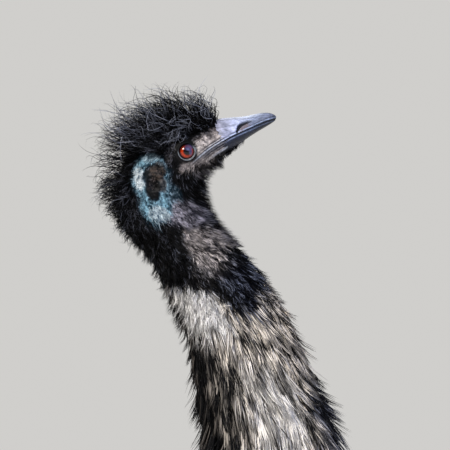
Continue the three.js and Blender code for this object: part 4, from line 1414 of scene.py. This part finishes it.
COATS = [
    ("crown_down", "black_plume", (16.5, 26.4), 5800, crown_density, down_look,
     {"clump_size": 6, "clumping": 0.45, "colour_of": crown_colours}),
    ("crown_hair", "black_plume", (16.5, 26.4), 4200, crown_density, crown_look,
     {"rings": 7, "clump_size": 5, "clumping": 0.35, "colour_of": crown_colours}),
    ("crown_wisps", "black_plume", (16.6, 26.4), 2350, wisp_density, wisp_look,
     {"rings": 11, "clump_size": 4, "clumping": 0.25, "colour_of": crown_colours}),
    ("face_bristles", "skin", (15.8, 27.2), 13200, face_density, bristle_look,
     {"rings": 2, "clump_size": 5, "clumping": 0.45}),
    ("chin_bristles", "skin", (25.6, 29.6), 320, chin_density, bristle_look,
     {"rings": 2, "clump_size": 3, "clumping": 0.2, "colour_of": crown_colours}),
    ("neck_ruff", "black_plume", (14.3, 17.6), 5600, between_angles(-0.3, 1.3),
     plume_look(length=0.8, stand=1.5, curl=0.15, turns=1.0, stray=0.5, flick=1.2),
     {"clump_size": 5, "clumping": 0.6}),
    ("throat_fuzz", "black_plume", (14.4, 17.7), 6250, between_angles(1.2, 3.4),
     plume_look(length=0.5, width=0.85, stand=1.05, curl=0.2, turns=1.0, stray=0.4, flick=0.6),
     {"clump_size": 4, "clumping": 0.55}),
    ("neck_plumes_upper", "plume", (12.0, 14.5), 8600, everywhere,
     plume_look(curl=0.045, stray=0.42, flick=1.3), {"clump_size": 6, "clumping": 0.7}),
    ("neck_plumes_middle", "plume", (10.2, 12.3), 6700, everywhere,
     plume_look(stray=0.25, flick=1.2), {"clump_size": 7, "clumping": 0.68}),
    ("neck_plumes_lower", "plume", (8.4, 10.6), 6200, everywhere,
     plume_look(stray=0.12), {"clump_size": 8, "clumping": 0.64}),
    ("breast_plumes", "plume", (6.3, 8.8), 5800, everywhere, plume_look(stray=0.1), BODY_LOCKS),
    ("back_plumes", "plume", (1.2, 7.2), 5800, between_angles(-0.3, 1.25), plume_look(stray=0.1), BODY_LOCKS),
    ("flank_plumes", "plume", (1.0, 7.0), 6200, between_angles(1.15, 3.4), plume_look(stray=0.1), BODY_LOCKS),
    ("tail_plumes", "plume", (0.05, 1.7), 4600, everywhere,
     plume_look(length=0.96, curl=0.03, stray=0.15), {"clump_size": 8, "clumping": 0.62, "hanging": True}),
]


def build_coats():
    """Every piece of coat, each with its slot."""
    made = []
    for seed, (name, slot, span, count, density, look, settings) in enumerate(COATS, 100):
        made.append((build_coat(name, BIRD, span, count, coat_depth, density, look, seed, **settings), slot))
    for word in HANDS:
        coat = build_coat(
            f"thigh_plumes_{word}", LEGS[word], (0.6, 6.1), 2000, leg_depth, everywhere, thigh_look, 130,
            clump_size=7, clumping=0.55, colour_of=thigh_colours,
        )
        made.append((coat, "plume"))
    return made


# Materials

def mottle_group():
    """Fine mottling for every finish: one value, half of it from coarse noise and half from fine."""
    group = bpy.data.node_groups.new("mottle", "ShaderNodeTree")
    for name, side, kind in (
        ("Place", "INPUT", "Vector"), ("Coarse", "INPUT", "Float"), ("Fine", "INPUT", "Float"),
        ("Value", "OUTPUT", "Float"),
    ):
        group.interface.new_socket(name, in_out=side, socket_type=f"NodeSocket{kind}")
    enter = group.nodes.new("NodeGroupInput")
    leave = group.nodes.new("NodeGroupOutput")
    layers = []
    for size, detail in (("Coarse", 4.0), ("Fine", 6.0)):
        layer = group.nodes.new("ShaderNodeTexNoise")
        layer.inputs["Detail"].default_value = detail
        group.links.new(enter.outputs["Place"], layer.inputs["Vector"])
        group.links.new(enter.outputs[size], layer.inputs["Scale"])
        layers.append(layer.outputs["Fac"])
    half, both = group.nodes.new("ShaderNodeMath"), group.nodes.new("ShaderNodeMath")
    half.operation, both.operation = "MULTIPLY", "MULTIPLY_ADD"
    for node, layer in zip((half, both), layers):
        group.links.new(layer, node.inputs[0])
        node.inputs[1].default_value = 0.5
    group.links.new(half.outputs[0], both.inputs[2])
    group.links.new(both.outputs[0], leave.inputs["Value"])
    return group


MOTTLE = mottle_group()


class Paint:
    """A material in the making: its nodes, the links between them and its shader."""

    def __init__(self, name):
        self.material = bpy.data.materials.new(name)
        self.material.use_nodes = True
        self.nodes = self.material.node_tree.nodes
        self.links = self.material.node_tree.links
        self.shader = self.nodes["Principled BSDF"]

    def feed(self, socket, value):
        """Links a socket to an output, or sets it to a plain value."""
        if isinstance(value, bpy.types.NodeSocket):
            self.links.new(value, socket)
        else:
            socket.default_value = value

    def node(self, kind, **inputs):
        """A new node with these inputs. Underscores in their names stand for spaces."""
        made = self.nodes.new(f"ShaderNode{kind}")
        for name, value in inputs.items():
            self.feed(made.inputs[name.replace("_", " ")], value)
        return made

    def place(self):
        return self.node("TexCoord").outputs["Object"]

    def mark(self, name, output="Fac"):
        """What the mesh carries at its points under this name."""
        made = self.node("Attribute")
        made.attribute_name = name
        return made.outputs[output]

    def mottled(self, coarse, fine, place=None):
        made = self.node("Group")
        made.node_tree = MOTTLE
        for name, value in (("Place", place or self.place()), ("Coarse", coarse), ("Fine", fine)):
            self.feed(made.inputs[name], value)
        return made.outputs["Value"]

    def ramp(self, value, stops):
        """Colours by value, from stops of a place and a colour."""
        made = self.node("ValToRGB", Fac=value)
        marks = made.color_ramp.elements
        while len(marks) < len(stops):
            marks.new(0.5)
        for mark, (place, colour) in zip(marks, stops):
            mark.position = place
            mark.color = (*colour, 1)
        return made.outputs["Color"]

    def spread(self, value, low, high, start=0.3, end=0.7):
        """Goes from low to high as the value goes from start to end."""
        made = self.node("MapRange", Value=value, From_Min=start, From_Max=end, To_Min=low, To_Max=high)
        return made.outputs["Result"]

    def mixed(self, kind, share, first, second):
        made = self.node("Mix")
        made.data_type, made.blend_type = "RGBA", kind
        self.feed(made.inputs[0], share)
        for number, colour in ((6, first), (7, second)):
            self.feed(made.inputs[number], (*colour, 1) if isinstance(colour, tuple) else colour)
        return made.outputs[2]

    def finish(self, bump=None, **inputs):
        """Feeds the shader. bump is a height, its distance and its strength."""
        if bump:
            height, distance, strength = bump
            bumps = self.node("Bump", Height=height, Distance=distance, Strength=strength)
            self.feed(self.shader.inputs["Normal"], bumps.outputs["Normal"])
        for name, value in inputs.items():
            self.feed(self.shader.inputs[name.replace("_", " ")], value)
        return self.material


def plume_material(name, roughness, specular):
    paint = Paint(name)
    shade = paint.ramp(paint.mottled(60.0, 420.0), [(0.3, (0.72, 0.72, 0.74)), (0.7, (1.0, 1.0, 1.0))])
    return paint.finish(
        Base_Color=paint.mixed("MULTIPLY", 1.0, paint.mark("plume", "Color"), shade),
        Roughness=paint.spread(paint.mark("fleck"), *roughness, 0.15, 0.4),
        Specular_IOR_Level=specular,
    )


def skin_material():
    paint = Paint("bare_skin")
    grey = paint.mottled(220.0, 900.0)
    shade = paint.ramp(grey, [(0.38, (0.30, 0.30, 0.32)), (0.60, (1.15, 1.13, 1.12))])
    cells = paint.node("TexVoronoi", Vector=paint.place(), Scale=620.0)
    cells.feature = "SMOOTH_F1"
    return paint.finish(
        bump=(cells.outputs["Distance"], 0.0006, 0.7),
        Base_Color=paint.mixed("MULTIPLY", 0.85, paint.mark("marking", "Color"), shade),
        Roughness=paint.spread(grey, 0.42, 0.68),
        Specular_IOR_Level=0.14,
    )


# Colours of the bill: from its root to its tip, its blotches and streaks, by height over the mouth's
# line, and the washes over its ridge (pale horn with a painted highlight), over the flap under the nostril,
# and the painted shade in the nostril
BILL_LENGTHWISE = [
    (0.0, (0.33, 0.34, 0.42)), (0.25, (0.38, 0.42, 0.55)), (0.7, (0.26, 0.31, 0.42)),
    (1.0, (0.13, 0.15, 0.20)),
]
BILL_BLOTCHES = [(0.34, (0.45, 0.46, 0.5)), (0.64, (1.25, 1.22, 1.25))]
BILL_STREAKS = [(0.34, (0.4, 0.4, 0.42)), (0.5, (1.0, 1.0, 1.0)), (0.66, (1.7, 1.7, 1.8))]
BILL_BANDS = [
    (0.0, (0.03, 0.04, 0.065)), (0.22, (0.05, 0.065, 0.10)), (0.255, (0.7, 0.78, 0.88)),
    (0.285, (0.10, 0.12, 0.16)), (0.345, (0.03, 0.035, 0.05)), (0.372, (1.5, 1.6, 1.7)),
    (0.40, (0.95, 0.97, 1.0)), (0.425, (0.35, 0.37, 0.42)), (0.47, (0.9, 0.9, 0.95)), (0.80, (1.0, 1.0, 1.0)),
]
BILL_WASHES = [("ridge", 0.55, (0.78, 0.84, 0.95)), ("flap", 0.8, (0.14, 0.10, 0.095))]
NOSTRIL_SHADE = (0.003, 0.003, 0.004)
BILL_TILT = math.radians(26)


def bill_material():
    """Blue-grey horn, streaked along its length, with pale and dark bands beside the mouth."""
    paint = Paint("bill_horn")
    lengthwise = paint.node(
        "Mapping", Vector=paint.place(), Rotation=(0.0, BILL_TILT, 0.0), Scale=(0.16, 1.0, 1.0),
    )
    streaks = paint.mottled(420.0, 1500.0, lengthwise.outputs["Vector"])
    height = paint.spread(paint.mark("above_mouth"), 0.0, 1.0, -10.0, 20.0)
    colour = paint.ramp(paint.mark("fore"), BILL_LENGTHWISE)
    for share, tint in (
        (0.8, paint.ramp(paint.mottled(70.0, 260.0), BILL_BLOTCHES)),
        (1.0, paint.ramp(streaks, BILL_STREAKS)),
        (1.0, paint.ramp(height, BILL_BANDS)),
    ):
        colour = paint.mixed("MULTIPLY", share, colour, tint)
    # The ridge's wash is pale horn with a painted highlight; the flap's is its own brown
    for name, share, wash in BILL_WASHES:
        colour = paint.mixed("MIX", paint.spread(paint.mark(name), 0.0, share, 0.0, 1.0), colour, wash)
    # Painted shade: the nostril's open slot is darkened almost to black
    colour = paint.mixed("MIX", paint.mark("pit"), colour, NOSTRIL_SHADE)
    return paint.finish(
        bump=(streaks, 0.0005, 0.6),
        Base_Color=colour,
        Roughness=paint.spread(streaks, 0.30, 0.50),
        Specular_IOR_Level=0.35,
    )


# Colours of the eye from the pupil's middle to the rim, by share of 11 mm off its axis
IRIS = [
    (0.0, (0.001, 0.001, 0.002)), (0.35, (0.001, 0.001, 0.002)), (0.39, (0.20, 0.012, 0.002)),
    (0.51, (0.55, 0.045, 0.002)), (0.62, (0.22, 0.014, 0.002)), (0.69, (0.008, 0.003, 0.003)),
    (1.0, (0.004, 0.003, 0.003)),
]


def eye_material():
    """A wet eye: rayed iris round a black pupil, with painted shade under the brow and a painted reflection
    of the sky on it.
    """
    paint = Paint("eyeball")
    around = paint.node("CombineXYZ", X=paint.mark("spoke_cos"), Y=paint.mark("spoke_sin"))
    rays = paint.mottled(6.0, 18.0, around.outputs["Vector"])
    iris = paint.ramp(paint.spread(paint.mark("off_axis"), 0.0, 1.0, 0.0, 11.0), IRIS)
    spokes = paint.ramp(rays, [(0.35, (0.5, 0.42, 0.38)), (0.62, (1.25, 1.2, 1.15))])
    colour = paint.mixed("MULTIPLY", 0.85, iris, spokes)
    # Painted reflection of the sky, laid over the iris and pupil
    colour = paint.mixed("MIX", paint.mark("painted_sky_reflection"), colour, (0.075, 0.068, 0.16))
    # Painted shade under the brow, darkening the eye's upper part
    colour = paint.mixed("MULTIPLY", paint.mark("painted_brow_shade"), colour, (0.04, 0.03, 0.05))
    return paint.finish(
        Base_Color=colour, Roughness=0.3, Specular_IOR_Level=0.0, Coat_Weight=1.0, Coat_Roughness=0.03,
    )


def horn_material(name, coarse, fine, stops, roughness, bump):
    """Dry horn, as of claws and scales."""
    paint = Paint(name)
    grey = paint.mottled(coarse, fine)
    return paint.finish(
        bump=(grey, bump, 0.5), Base_Color=paint.ramp(grey, stops), Roughness=paint.spread(grey, *roughness),
    )


def floor_material():
    paint = Paint("floor_paint")
    grey = paint.ramp(paint.mottled(0.8, 40.0), [(0.3, (0.60, 0.59, 0.57)), (0.7, (0.66, 0.65, 0.63))])
    return paint.finish(Base_Color=grey, Roughness=0.8)


def finish(obj, material, slot, *nodes):
    """Gives a piece its material, and lets it stand for CAD nodes. Its slot is not used."""
    obj.data.materials.clear()
    obj.data.materials.append(material)
    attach(obj, "root")
    if nodes:
        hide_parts(*nodes)


# The bird

BLACK_PLUME = plume_material("black_plumage", (0.22, 0.62), 0.12)
PLUME = plume_material("shaggy_plumage", (0.40, 0.75), 0.18)
SCALE = horn_material(
    "leg_plates", 45.0, 520.0,
    [(0.3, (0.030, 0.026, 0.024)), (0.5, (0.095, 0.082, 0.072)), (0.72, (0.21, 0.185, 0.16))],
    (0.38, 0.62), 0.0008,
)
HORN = horn_material(
    "claw_horn", 90.0, 700.0,
    [(0.3, (0.010, 0.009, 0.009)), (0.6, (0.055, 0.048, 0.044)), (0.8, (0.15, 0.13, 0.11))],
    (0.3, 0.55), 0.0006,
)
BILL, EYE = bill_material(), eye_material()

# The CAD nodes that the one skin stands for
FLESH = ["head", "ear_left", "ear_right", "neck_upper", "neck_middle", "neck_lower"]
FLESH += ["breast", "trunk", "tail"]
FLESH += [f"{part}_{word}" for part in ("wing", "thigh", "shank", "foot") for word in HANDS]
FLESH += [f"toe_{name}_{word}" for name in TOES for word in HANDS]
finish(build_skin(), skin_material(), "skin", *FLESH)
finish(build_bill(True), BILL, "bill", "bill_upper")
finish(build_bill(False), BILL, "bill", "bill_lower")
for word in HANDS:
    finish(build_eye(word), EYE, "eye", f"eye_{word}")
    finish(build_leg_scales(word), SCALE, "leg_scale")
    for name in TOES:
        finish(build_claw(name, word), HORN, "claw", f"claw_{name}_{word}")
for coat, slot in build_coats():
    looks = PLUME if slot == "plume" else BLACK_PLUME
    finish(coat, looks, slot, *(["crown_tuft"] if coat.name == "crown_hair" else []))

# Camera and floor

deselect()
bpy.ops.object.camera_add(location=CAMERA_PLACE, rotation=(math.pi / 2, 0, 0))
camera = bpy.context.object
camera.data.sensor_width = SENSOR_WIDTH
camera.data.lens = SENSOR_WIDTH * -CAMERA_PLACE[1] / PICTURE_WIDTH
bpy.context.scene.camera = camera

FLOOR_RADIUS = 20.0
FLOOR_DROP = -0.0005  # just under the soles
deselect()
bpy.ops.mesh.primitive_circle_add(
    vertices=128, radius=FLOOR_RADIUS, fill_type="NGON", location=(0, 0, FLOOR_DROP),
)
floor = bpy.context.object
floor.name = "floor"
floor.data.materials.append(floor_material())

# Light: name, kind, place, size (an angle for a sun), power and colour, all turned to the neck
AIM = Vector((0.33, 0.0, 1.45))
LIGHTS = [
    ("key", "SUN", (-1.4, -2.6, 4.0), 0.30, 3.7, (1.0, 0.97, 0.93)),
    ("rim", "SUN", (-1.4, 3.0, 4.4), 0.3, 1.0, (0.93, 0.96, 1.0)),
    ("fill", "AREA", (2.6, -2.6, 3.9), 3.2, 60.0, (0.50, 0.60, 1.0)),
]
for name, kind, place, size, power, colour in LIGHTS:
    bpy.ops.object.light_add(type=kind, location=place)
    lamp = bpy.context.object
    lamp.name = f"light_{name}"
    if kind == "SUN":
        lamp.data.angle = size
    else:
        lamp.data.shape = "DISK"
        lamp.data.size = size
    lamp.data.energy = power
    lamp.data.color = colour
    lamp.rotation_euler = (AIM - Vector(place)).to_track_quat("-Z", "Y").to_euler()


# The backdrop: plain pale grey to the camera, and softer as light
world = bpy.data.worlds.new("studio")
bpy.context.scene.world = world
world.use_nodes = True
nodes, links = world.node_tree.nodes, world.node_tree.links
seen = nodes["Background"]
unseen = nodes.new("ShaderNodeBackground")
either = nodes.new("ShaderNodeMixShader")
for backdrop, brightness in ((unseen, 0.3), (seen, 0.9)):
    backdrop.inputs["Color"].default_value = (0.70, 0.69, 0.67, 1)
    backdrop.inputs["Strength"].default_value = brightness
links.new(nodes.new("ShaderNodeLightPath").outputs["Is Camera Ray"], either.inputs["Fac"])
links.new(unseen.outputs[0], either.inputs[1])
links.new(seen.outputs[0], either.inputs[2])
links.new(either.outputs[0], nodes["World Output"].inputs["Surface"])
bpy.context.scene.view_settings.view_transform = "Standard"
